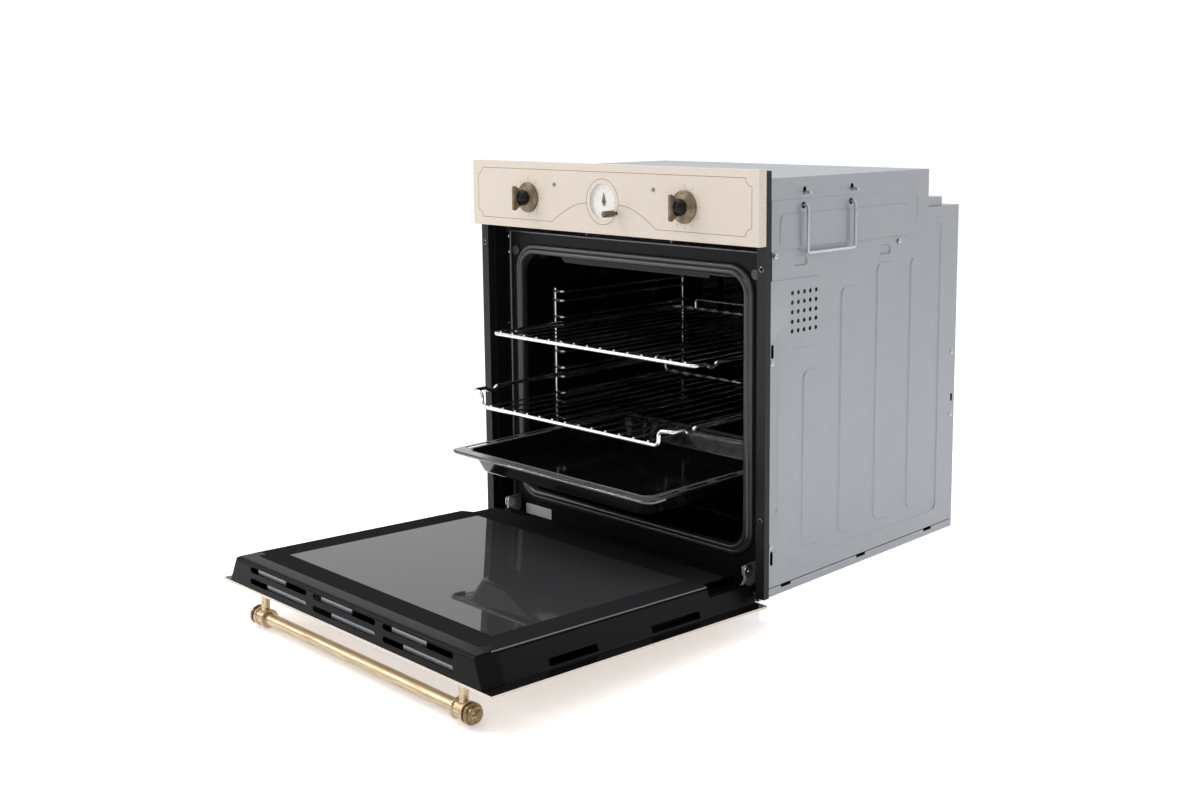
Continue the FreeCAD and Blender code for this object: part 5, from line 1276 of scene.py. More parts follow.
@dataclass
class Housing(SubAssembly):
    """Sheet steel body: side panels, top, back, base, screws and carrying bails.

    Flat places on the side panels are given as Y and Z.
    """

    half_width: float = 279.0
    depth: float = 489.0
    top_depth: float = 402.0
    height: float = 585.5
    deck: float = 526.5
    flange: float = 13.2
    sheet: float = 1.0
    recess: float = 1.5
    recess_corner: float = 14.0
    recess_outline: tuple[Flat, ...] = (
        (2.5, 445.5), (138.0, 445.5), (138.0, 347.0), (58.0, 347.0), (58.0, 37.0),
        (441.0, 37.0), (441.0, 506.5), (375.0, 506.5), (375.0, 555.5), (2.5, 555.5))
    rib_height: float = 1.5
    rib_corner: float = 11.0
    rib_width: float = 43.0
    rib_foot: float = 55.5
    rib_fronts_and_tops: tuple[Flat, ...] = ((96.0, 312.0), (183.0, 422.5), (271.0, 450.5), (359.0, 451.0))
    landing_depth: float = 0.9
    landing_corner: float = 6.0
    dent_fronts: Flat = (73.0, 276.0)
    dent_length: float = 30.0
    dent_depth: float = 2.2
    dent_corner: float = 4.0
    vent_radius: float = 3.2
    vent_pitch: float = 13.4
    vent_first: Flat = (68.0, 372.0)
    vent_rows: int = 5
    slot_width: float = 6.0
    screw_places: tuple[Flat, ...] = ((24.0, 72.0), (24.0, 332.0), (31.0, 479.5), (326.0, 479.5),
                                      (478.0, 188.0), (478.0, 290.0))
    bail_legs: Flat = (93.0, 203.0)
    bail_hole: float = 546.0
    bail_hole_radius: float = 4.8
    bail_slot: float = 3.6
    bail_wire: float = 4.4
    bail_bend: float = 4.8

    def build(self) -> None:
        """Builds and dresses the body."""
        for name, side in SIDES:
            self.side_panel(name, side)
            self.bail(name, side)
        self.screws()
        self.soften(base_tray=0.35, top_cover=0.45, terminal_cover=0.6, cable_gland=0.3)
        self.dresser.paint("back_panel")

    def pressed(self) -> PressedSheet:
        """Presses the steps that both side panels have.

        Returns:
            The sheet with its recess, ribs, landing and dents.
        """
        sheet = PressedSheet([
            (0.0, self.flange), (self.depth, self.flange), (self.depth, self.deck),
            (self.top_depth, self.deck), (self.top_depth, self.height), (0.0, self.height),
        ])
        low = -self.recess
        sheet.press(self.recess_outline, self.recess_corner, 0.0, low)
        ribs = [corners_of(front, front + self.rib_width, self.rib_foot, top)
                for front, top in self.rib_fronts_and_tops]
        cross_rib = corners_of(42.0, 353.0, 488.0, 535.5)
        for rib in (*ribs, cross_rib):
            sheet.press(rib, self.rib_corner, low, low + self.rib_height)
        sheet.press(corners_of(2.5, 38.0, 120.0, 374.0), self.landing_corner, 0.0, -self.landing_depth)
        for front in self.dent_fronts:
            sheet.press(corners_of(front, front + self.dent_length, 463.0, 476.5), self.dent_corner,
                        low, low - self.dent_depth)
        return sheet

    def side_panel(self, name: str, side: int) -> None:
        """Presses one side panel and cuts its vents, slots and bail holes.

        Args:
            name: left or right.
            side: -1 for the left, 1 for the right.
        """
        sheet = self.pressed()
        for row in range(self.vent_rows):
            for column in range(self.vent_rows):
                centre = (self.vent_first[0] + self.vent_pitch * column,
                          self.vent_first[1] + self.vent_pitch * row)
                sheet.pierce(round_outline(centre, self.vent_radius), 0.0)
        for front, bottom, top, level in ((23.0, 339.0, 358.0, -self.landing_depth), (23.0, 45.0, 65.0, 0.0),
                                          (477.5, 210.0, 222.0, 0.0)):
            sheet.pierce(rounded_rectangle(front, front + self.slot_width, bottom, top, 1.5, 3), level)
        for leg in self.bail_legs:
            sheet.pierce(round_outline((leg, self.bail_hole), self.bail_hole_radius), -self.recess)
            slot = rounded_rectangle(leg - self.bail_slot, leg + self.bail_slot, 560.9, 572.0, 3.4, 4)
            sheet.pierce(slot, 0.0)
        steel = self.finish("galvanised_steel")
        skin = sheet.shape(side * self.half_width, side).piece(f"{name}_panel_skin", steel)
        wall = skin.modifiers.new("wall", "SOLIDIFY")
        wall.thickness = self.sheet * MM
        wall.offset = -1.0 if self.faces_out(skin, side) else 1.0
        mesh = evaluated_mesh(skin)
        discard(skin)
        panel = finish_mesh(f"{name}_pressed_panel", mesh, steel, PRESSED_ANGLE)
        self.dresser.stand_in(panel, f"{name}_side_panel")

    @staticmethod
    def faces_out(skin: Object, side: int) -> bool:
        """Tells whether a skin's faces look away from the middle of the oven."""
        total = sum(polygon.normal.x * polygon.area for polygon in skin.data.polygons)
        return total * side > 0

    def screws(self) -> None:
        """Sets a cross recessed pan head screw in each hole of the side panels."""
        head = Shape()
        head.lathe([(1.9, -8.0), (1.9, 0.0), (4.0, 0.0), (4.0, 0.7), (3.5, 1.4), (2.3, 1.8), (0.9, 1.9),
                    (0.8, 0.9), (0.0, 0.8)], (0, 0, 0), Axis.UP, 20)
        pattern = head.piece("screw_pattern", self.finish("zinc_steel"))
        places = [((side * self.half_width, along, height), (0.0, 90.0 * side, 0.0))
                  for _, side in SIDES for along, height in self.screw_places]
        self.dresser.stand_in(self.growth.set_on("pan_head_screws", pattern, places), "body_screws")

    def bail(self, name: str, side: int) -> None:
        """Bends one carrying bail.

        Args:
            name: left or right.
            side: -1 for the left, 1 for the right.
        """
        leg = ((290.0, 564.0), (272.5, 564.0), (272.5, self.bail_hole), (286.0, self.bail_hole),
               (286.0, 480.0))
        front, rear = self.bail_legs
        path = [(side * across, front, height) for across, height in leg]
        path += [(side * across, rear, height) for across, height in reversed(leg)]
        bail = self.growth.bend(f"{name}_bail_wire", [path], self.bail_wire, self.bail_bend,
                                self.finish("zinc_steel"))
        self.dresser.stand_in(bail, f"{name}_carry_bail")


@dataclass
class Front(SubAssembly):
    """Black front frame, side trims and door seal."""

    seal_half: float = 250.0
    seal_low: float = 48.0
    seal_high: float = 466.0
    seal_corner: float = 42.0
    seal_section: tuple[Flat, ...] = (
        (0.0, 23.0), (0.0, 19.5), (1.5, 17.6), (4.5, 16.8), (6.5, 17.6), (8.0, 16.2), (11.0, 14.4),
        (14.2, 15.2), (16.0, 18.0), (16.0, 23.0))
    frame_face: float = 23.0
    trim_face: float = -12.0
    bead_x: float = 268.0
    bead_radius: float = 2.2
    top_bead_z: float = 484.0
    top_bead_radius: float = 2.0

    def build(self) -> None:
        """Builds and dresses the front."""
        self.dresser.soften("front_frame", 0.5, "frame_black")
        for name, _ in SIDES:
            self.dresser.soften(f"{name}_side_trim", 0.6, "trim_black")
        self.seal()
        self.bare_plate()
        self.beads()
        self.fittings()

    def seal(self) -> None:
        """Moulds the seal: a flat foot with a hollow lip towards the cavity."""
        rings = []
        for inset, along in self.seal_section:
            outline = rounded_rectangle(inset - self.seal_half, self.seal_half - inset, self.seal_low + inset,
                                        self.seal_high - inset, self.seal_corner - inset, 14)
            rings.append([(across, along, height) for across, height in outline])
        lip = Shape()
        lip.loft(rings, closed=True)
        self.replace("door_seal", lip, "moulded_seal", "seal_rubber", TURNED_ANGLE)

    def bare_plate(self) -> None:
        """Puts a bare metal plate on the frame under the seal."""
        plate = Shape()
        plate.plate(rounded_rectangle(-240.0, -178.0, 13.0, 35.0, 2.0, 4), Axis.BACK, self.frame_face, -0.5)
        self.fit(plate, "bare_plate", "plate_grey", CHASSIS, "zinc_steel")

    def beads(self) -> None:
        """Adds the half round beads along the frame's sides and top."""
        beads = Shape()
        turns = [math.pi * step / 10 for step in range(11)]
        for _, side in SIDES:
            arc = [(side * self.bead_x - self.bead_radius * math.cos(turn),
                    self.frame_face - self.bead_radius * math.sin(turn)) for turn in turns]
            beads.loft([[(across, along, height) for across, along in arc] for height in (16.0, 483.0)])
        arc = [(self.frame_face - self.top_bead_radius * math.sin(turn),
                self.top_bead_z - self.top_bead_radius * math.cos(turn)) for turn in turns]
        beads.loft([[(across, along, height) for along, height in arc] for across in (-277.0, 277.0)])
        # The beads' lighter grey is a painted highlight line
        self.fit(beads, "frame_beads", "edge_highlight_grey", CHASSIS, "black_lacquer")

    def fittings(self) -> None:
        """Adds the frame's bumpers and screws, and a ring round each fixing hole of the trims."""
        bumpers = Shape()
        screws = Shape()
        rings = Shape()
        for _, side in SIDES:
            bumpers.lathe([(0.0, 0.0), (8.0, 0.0), (8.0, -2.6), (7.2, -3.4), (0.0, -3.4)],
                          (side * 252.5, self.frame_face, 453.5), Axis.BACK, 32)
            for height in (449.0, 475.0):
                screws.lathe([(0.0, 0.0), (2.7, 0.0), (2.7, -0.7), (1.7, -1.5), (0.0, -1.6)],
                             (side * (self.bead_x + 5.0), self.frame_face, height), Axis.BACK, 20)
            for height in (120.0, 466.0):
                rings.lathe([(2.3, 0.0), (4.4, 0.0), (4.2, -0.5), (3.4, -0.8), (2.3, -0.8)],
                            (side * 290.0, self.trim_face, height), Axis.BACK, 28, closed=True)
        self.fit(bumpers, "frame_bumpers", "seal_rubber", CHASSIS, "seal_rubber")
        self.fit(screws, "frame_screws", "chromed_wire", CHASSIS, "zinc_steel")
        # The rings' lighter grey is a painted highlight
        self.fit(rings, "fixing_rings", "edge_highlight_grey", CHASSIS, "black_lacquer")


@dataclass
class Cavity(SubAssembly):
    """Enamelled cavity with its lamp, heaters and wire ladders, and the unseen pieces behind it."""

    upright_x: float = 227.8
    upright_wire: float = 4.0
    runner_x: float = 210.8
    runner_wire: float = 5.0
    runner_bend: float = 5.5
    front: float = 83.0
    rear: float = 390.0
    lowest: float = 156.8
    pitch: float = 42.25
    levels: int = 6
    gap: float = 15.0
    overhang: float = 5.0

    def build(self) -> None:
        """Builds and dresses the cavity."""
        self.soften(oven_cavity=0.4, grill_shield=0.3, grill_element=0.0, lamp_lens=0.5, thermostat_bulb=0.3)
        for name, side in SIDES:
            self.ladder(name, side)
        self.dresser.paint("lamp_holder", "lamp_bulb", "bottom_element", "insulation_blanket", "air_channel",
                           "blower_housing", "blower_motor", "blower_wheel", "panel_bracket",
                           "function_selector", "thermostat", "timer_case", "hinge_receivers")

    def ladder(self, name: str, side: int) -> None:
        """Bends one wire ladder.

        Args:
            name: left or right.
            side: -1 for the left, 1 for the right.
        """
        chrome = self.finish("chromed_wire")
        outer = side * self.upright_x
        inner = side * self.runner_x
        bottom = self.lowest - self.overhang
        top = self.lowest + self.pitch * (self.levels - 1) + self.gap + self.overhang
        uprights = [[(outer, along, bottom), (outer, along, top)] for along in (self.front, self.rear)]
        runners = []
        for level in range(self.levels):
            for lift in (0.0, self.gap):
                height = self.lowest + self.pitch * level + lift
                runners.append([(outer, self.front, height), (inner, self.front, height),
                                (inner, self.rear, height), (outer, self.rear, height)])
        posts = self.growth.bend(f"{name}_uprights", uprights, self.upright_wire, 1.0, chrome)
        rungs = self.growth.bend(f"{name}_runners", runners, self.runner_wire, self.runner_bend, chrome)
        self.dresser.stand_in(join(f"{name}_wire_ladder", [posts, rungs]), f"{name}_shelf_ladder")


@dataclass
class Racks(SubAssembly):
    """Both wire shelves and the baking tray."""

    rail_x: float = 211.8
    wire: float = 6.0
    bend: float = 9.0
    bar_wire: float = 3.0
    bar_lift: float = 3.5
    depth: float = 410.0
    pitch: float = 28.0
    notch_start: float = 26.0
    notch_length: float = 22.0
    notch_drop: float = 5.0
    upper_front: float = -61.0
    upper_height: float = 331.6
    guard_half: float = 158.0
    guard_height: float = 17.0
    lower_front: float = -106.0
    lower_rail: float = 247.1
    lower_floor: float = 225.1
    lower_inner: float = 188.8
    tray_front: float = -152.0
    tray_depth: float = 375.0
    tray_half: float = 215.0
    tray_rim: float = 159.6
    tray_height: float = 33.0
    tray_sheet: float = 1.2
    tray_corner: float = 14.0
    corner_growth: float = 0.45
    rim_width: float = 21.0
    front_rim_width: float = 17.0
    edge_roll: float = 5.2
    # Thin wire round the well, painted grey: it stands in for the highlight on the well's bend
    well_line_diameter: float = 2.2
    well_line_inset: float = 20.0
    slot_x: float = 204.5
    slot_start: float = 26.0
    slot_length: float = 49.0
    slot_step: float = 59.0
    slot_count: int = 3

    def build(self) -> None:
        """Builds the shelves and the tray."""
        self.upper_shelf()
        self.lower_shelf()
        self.baking_tray()
        self.tray_trim()

    def notch(self, front: float, height: float) -> list[Point]:
        """Returns the points of the left rail's notch.

        Args:
            front: Y of the shelf's front.
            height: Z of the rail.

        Returns:
            The points, from back to front.
        """
        start = front + self.notch_start
        end = start + self.notch_length
        drop = self.notch_drop
        steps = ((end, height), (end - drop, height - drop), (start + drop, height - drop), (start, height))
        return [(-self.rail_x, along, level) for along, level in steps]

    def shelf(self, name: str, left: list[Point], floor: Flat, count: int,
              guards: Sequence[Object] = ()) -> None:
        """Bends a shelf's frame, lays its bars and joins all of it.

        Args:
            name: upper or lower.
            left: the left half of the frame, from back to front.
            floor: front Y and Z of the frame wires that carry the bars.
            count: how many bars.
            guards: other pieces of the shelf.
        """
        chrome = self.finish("chromed_wire")
        right = [(-across, along, level) for across, along, level in reversed(left)]
        frame = self.growth.bend(f"{name}_frame", [left + right], self.wire, self.bend, chrome, cyclic=True)
        start = (-self.pitch * (count - 1) / 2, floor[0], floor[1] + self.bar_lift)
        bars = self.growth.bars(f"{name}_bars", start, (0.0, self.depth, 0.0), (self.pitch, 0.0, 0.0), count,
                                self.bar_wire, chrome)
        self.dresser.stand_in(join(f"{name}_wire_shelf", [frame, *guards, bars]), f"{name}_shelf")

    def upper_shelf(self) -> None:
        """Bends the flat shelf with its rear guard."""
        front = self.upper_front
        rear = front + self.depth
        height = self.upper_height
        top = height + self.guard_height
        left = [(-self.rail_x, rear, height), *self.notch(front, height), (-self.rail_x, front, height)]
        guard = self.growth.bend("upper_guard", [[
            (-self.guard_half, rear, height), (-self.guard_half, rear, top), (self.guard_half, rear, top),
            (self.guard_half, rear, height),
        ]], 5.0, 6.0, self.finish("chromed_wire"))
        self.shelf("upper", left, (front, height), 15, [guard])

    def lower_shelf(self) -> None:
        """Bends the dropped shelf."""
        front = self.lower_front
        rear = front + self.depth
        rail = self.lower_rail
        floor = self.lower_floor
        left = [(-self.lower_inner, rear, floor), (-self.lower_inner, rear, rail), (-self.rail_x, rear, rail),
                *self.notch(front, rail), (-self.rail_x, front, rail), (-self.lower_inner, front, rail),
                (-self.lower_inner, front, floor)]
        self.shelf("lower", left, (front, floor), 13)

    def tray_ring(self, inset: float, height: float) -> list[Point]:
        """Returns the tray's outline at a distance from its edge.

        Args:
            inset: distance from the tray's side edges.
            height: Z of the outline.

        Returns:
            The outline's points; the front and back rims are narrower than the side rims.
        """
        if inset < self.rim_width:
            front_inset = inset * self.front_rim_width / self.rim_width
        else:
            front_inset = inset - (self.rim_width - self.front_rim_width)
        front = self.tray_front + front_inset
        rear = self.tray_front + self.tray_depth - front_inset
        corner = self.tray_corner + min(inset, self.rim_width) * self.corner_growth
        outline = rounded_rectangle(inset - self.tray_half, self.tray_half - inset, front, rear, corner, 8)
        return [(across, along, height) for across, along in outline]

    def tray_slots(self, top: float) -> Object:
        """Makes the cutter for the slots in the tray's side flanges.

        Args:
            top: Z of the rim.

        Returns:
            The cutter.
        """
        slots = Shape()
        for _, side in SIDES:
            for index in range(self.slot_count):
                start = self.tray_front + self.slot_start + self.slot_step * index
                outline = rounded_rectangle(side * self.slot_x - 3.5, side * self.slot_x + 3.5, start,
                                            start + self.slot_length, 3.15, 5)
                slots.plate(outline, Axis.UP, top - 5.0, 10.0)
        return slots.piece("tray_slots", self.finish("tray_enamel"))

    def baking_tray(self) -> None:
        """Presses the tray: a flat rim, leaning walls and a round floor edge."""
        top = self.tray_rim + self.tray_sheet
        floor = top - self.tray_height
        inner = ((57.0, floor + 1.2), (38.0, floor + 1.25), (35.2, floor + 1.9), (33.2, floor + 4.0),
                 (23.8, top - 4.5), (22.4, top - 1.6), (20.2, top - 0.1), (5.0, top), (1.0, top + 0.2),
                 (0.2, top - 0.3))
        outer = ((0.0, top - 1.0), (1.0, top - 1.3), (5.0, top - 1.2), (19.2, top - 1.3), (21.2, top - 2.6),
                 (22.6, top - 5.0), (32.0, floor + 3.5), (34.2, floor + 0.9), (37.6, floor), (57.0, floor))
        shape = Shape()
        shape.loft([self.tray_ring(inset, height) for inset, height in inner + outer])
        blank = shape.piece("tray_blank", self.finish("tray_enamel"), TURNED_ANGLE)
        self.dresser.stand_in(carved("pressed_tray", blank, self.tray_slots(top)), "baking_tray")

    def tray_trim(self) -> None:
        """Lays a grey metal sheet on the tray's rim as a painted reflection, the roll on its edge and a thin
        wire round its well, these two painted grey as highlight lines.
        """
        top = self.tray_rim + self.tray_sheet
        body = self.dresser.body_of["baking_tray"]
        # A grey metal sheet laid on the black flange: a painted reflection
        ring = Shape()
        ring.loft([self.tray_ring(inset, top + lift)
                   for inset, lift in ((3.0, -0.4), (19.4, -0.4), (19.4, 0.1), (3.0, 0.25))], closed=True)
        blank = ring.piece("flange_blank", self.finish("painted_sheen_steel"))
        self.dresser.add(carved("tray_flange", blank, self.tray_slots(top)), body, "black_enamel")
        # The roll is the tray's rolled edge; the thin wire round the well only carries the highlight of the
        # bend; both are painted grey highlight lines
        wires = (
            ("edge_roll", self.tray_half - self.edge_roll / 2, self.tray_front + self.edge_roll / 2, 30.0,
             top + 0.2 - self.edge_roll / 2, self.edge_roll),
            ("well_bead", self.tray_half - self.well_line_inset, self.tray_front + self.well_line_inset - 2.8, 174.0,
             top - 0.7, self.well_line_diameter),
        )
        enamel = self.finish("painted_highlight_enamel")
        rolls = []
        for name, half, front, length, level, diameter in wires:
            path = [(-half, front + length, level), (-half, front, level), (half, front, level),
                    (half, front + length, level)]
            rolls.append(self.growth.bend(name, [path], diameter, self.tray_corner, enamel))
        self.dresser.add(join("tray_roll", rolls), body, "black_enamel")


@dataclass
class Controls(SubAssembly):
    """Cream control panel with its printed lines, knobs and dial timer."""

    face: float = -27.0
    axis_z: float = 544.5
    line_width: float = 0.9
    print_height: float = 0.12
    frame_half: float = 285.0
    frame_low: float = 510.0
    frame_high: float = 588.0
    frame_notch: float = 11.0
    arch_half: float = 110.0
    arch_run: float = 76.0
    arch_rise: float = 31.0
    ring_radius: float = 33.5
    pilot_x: float = 104.0
    pilot_z: float = 566.0
    pilot_radius: float = 3.4
    knob_x: float = 164.0
    knob_gap: float = 0.5
    mark_radius: float = 29.0
    skirt: tuple[Flat, ...] = (
        (3.0, 43.5), (3.0, 0.0), (22.4, 0.0), (23.0, -0.6), (23.0, -2.4), (22.3, -3.1), (21.4, -3.3),
        (14.6, -6.6), (12.4, -7.7), (11.4, -8.0), (0.0, -8.0))
    wing: tuple[Flat, ...] = (
        (-58.4, -18.6), (-53.4, -18.6), (-43.5, -12.0), (-36.5, -10.0), (-36.5, 10.0), (-43.5, 12.0),
        (-53.4, 18.6), (-58.4, 18.6))
    wing_section: tuple[Flat, ...] = (
        (-2.6, 1.4), (-2.2, 0.5), (-1.4, 0.0), (1.4, 0.0), (2.2, 0.5), (2.6, 1.4))
    wing_corner: float = 3.0
    boss_radius: float = 12.6
    boss_lift: float = 13.6
    dial_face: float = -23.0
    tick_radius: float = 20.5

    def build(self) -> None:
        """Builds and dresses the control panel."""
        self.soften(control_panel=0.9)
        self.printed_lines()
        self.printed_marks()
        for name, side in (("function_knob", -1), ("temperature_knob", 1)):
            self.knob(name, side)
        self.timer()
        self.soften(pilot_lenses=0.3)

    def ring(self, middle: Flat, radius: float, count: int) -> list[Point]:
        """Lays points round a middle on the panel's face.

        Args:
            middle: X and Z of the middle.
            radius: the ring's radius.
            count: how many points.

        Returns:
            The points, clockwise from the top.
        """
        turns = [2 * math.pi * step / count for step in range(count)]
        return [(middle[0] + radius * math.sin(turn), self.face, middle[1] + radius * math.cos(turn))
                for turn in turns]

    def frame_line(self) -> list[Flat]:
        """Returns the right half of the frame line, from the top's middle to the arch's end.

        Returns:
            The line's points in X and Z.
        """
        notch = self.frame_notch
        turns = [math.pi / 2 * step / 6 for step in range(7)]
        line = [(0.0, self.frame_high), (self.frame_half - notch, self.frame_high)]
        line += [(self.frame_half - notch * math.cos(turn), self.frame_high - notch * math.sin(turn))
                 for turn in turns]
        line += [(self.frame_half, self.frame_high - notch - 1.0),
                 (self.frame_half, self.frame_low + notch + 0.5)]
        line += [(self.frame_half - notch * math.sin(turn), self.frame_low + notch * math.cos(turn))
                 for turn in turns]
        line += [(self.frame_half - notch - 1.0, self.frame_low), (self.arch_half, self.frame_low)]
        for step in range(1, 17):
            share = step / 16
            line.append((self.arch_half - self.arch_run * share,
                         self.frame_low + self.arch_rise * math.sin(share * math.pi / 2)))
        return line

    def printed_lines(self) -> None:
        """Prints the frame line with notched corners, the arch and the ring."""
        lines = Shape()
        for _, side in SIDES:
            path = [(side * across, self.face, height) for across, height in self.frame_line()]
            lines.ribbon(path, self.line_width, self.print_height)
        lines.ribbon(self.ring((0.0, self.axis_z), self.ring_radius, 64), self.line_width, self.print_height,
                     closed=True)
        self.fit(lines, "printed_lines", "print_brown", CHASSIS, "cream_enamel")

    def dashes(self, name: str, half: Flat, corner: float, places: Sequence[tuple[Point, Point]],
               finish: str) -> Object:
        """Prints one dash on each place.

        Args:
            name: the piece's name.
            half: half the width and half the length of a dash.
            corner: radius of its corners.
            places: position and turn of each dash.
            finish: the ink.

        Returns:
            The new piece.
        """
        dash = Shape()
        outline = rounded_rectangle(-half[0], half[0], -half[1], half[1], corner, 3)
        dash.plate(outline, Axis.BACK, 0.0, -self.print_height)
        return self.growth.set_on(name, dash.piece("dash_pattern", self.finish(finish)), places)

    def clock_place(self, middle: float, face: float, radius: float, turn: float) -> tuple[Point, Point]:
        """Places a mark at a clock's angle round a knob or the dial.

        Args:
            middle: X of the knob or the dial.
            face: Y of the face that carries the mark.
            radius: the mark's distance from the middle.
            turn: the angle from the top, in degrees.

        Returns:
            The mark's position and turn.
        """
        angle = math.radians(turn)
        return ((middle + radius * math.sin(angle), face, self.axis_z + radius * math.cos(angle)),
                (0.0, float(turn), 0.0))

    def printed_marks(self) -> None:
        """Prints plain dashes round the knobs, and rings round the pilot lenses."""
        places = []
        for side, turns in ((-1, (-38, 0, 38, 64, 90, 140, 180)), (1, range(0, 241, 30))):
            middle = side * self.knob_x
            places += [self.clock_place(middle, self.face, self.mark_radius, turn) for turn in turns]
        marks = self.dashes("printed_marks", (0.45, 1.6), 0.4, places, "print_brown")
        self.dresser.add(marks, CHASSIS, "cream_enamel")
        rings = Shape()
        for _, side in SIDES:
            path = self.ring((side * self.pilot_x, self.pilot_z), self.pilot_radius, 24)
            rings.ribbon(path, 0.7, self.print_height, closed=True)
        self.fit(rings, "pilot_rings", "print_brown", CHASSIS, "cream_enamel")

    def knob(self, name: str, side: int) -> None:
        """Turns one knob: a bronze skirt, a grip wing and a round black boss.

        Args:
            name: the knob's node.
            side: -1 for the left knob, 1 for the right one.
        """
        middle = side * self.knob_x
        foot = self.face - self.knob_gap
        body = Shape()
        body.lathe(self.skirt, (middle, foot, self.axis_z), Axis.BACK, 64)
        body.loft([[(middle + across, along, self.axis_z + height)
                    for along, height in filleted(self.wing, self.wing_corner, inset)]
                   for across, inset in self.wing_section])
        self.replace(name, body, f"{name}_turned", "aged_bronze", WIRE_ANGLE)
        turns = [math.pi * step / 24 for step in range(25)]
        boss = Shape()
        half_circle = [(self.boss_radius * math.sin(turn), -self.boss_radius * math.cos(turn))
                       for turn in turns]
        boss.lathe(half_circle, (middle, foot - self.boss_lift, self.axis_z), Axis.BACK, 40)
        self.replace(f"{name}_cap", boss, f"{name}_boss", "black_plastic", TURNED_ANGLE)
        mark = Shape()
        mark.lathe([(0.0, 1.0), (1.0, 1.0), (1.0, -0.4), (0.0, -0.4)],
                   (middle, foot - 4.8, self.axis_z + 18.4), Axis.BACK, 16)
        self.fit(mark, f"{name}_mark", "black_plastic", self.dresser.body_of[name], "black_plastic")

    def timer(self) -> None:
        """Builds the dial with its marks, the spade hand and the setting knob."""
        self.soften(timer_dial=0.25)
        places = [self.clock_place(0.0, self.dial_face, self.tick_radius, 30 * index) for index in range(12)]
        ticks = self.dashes("dial_ticks", (0.35, 1.3), 0.3, places, "print_grey")
        self.dresser.add(ticks, CHASSIS, "white_plastic")
        self.hand()
        self.soften(timer_knob=0.4)

    def hand(self) -> None:
        """Cuts the spade hand and sets it on its hub over the dial."""
        half = [(1.3, -5.6), (1.3, -3.4), (2.8, -1.2), (2.9, 1.2), (1.7, 5.2), (0.8, 8.4), (0.0, 13.6)]
        outline = half + [(-across, height) for across, height in reversed(half[:-1])]
        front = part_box("timer_hand")[0][1] / MM
        hub = self.dial_face + 0.5 - front
        shape = Shape()
        shape.plate([(across, self.axis_z + height) for across, height in outline], Axis.BACK, front, 0.8)
        shape.lathe([(0.0, 0.0), (1.7, 0.0), (1.7, hub), (0.0, hub)], (0.0, front, self.axis_z),
                    Axis.BACK, 20)
        self.replace("timer_hand", shape, "spade_hand", "aged_bronze")


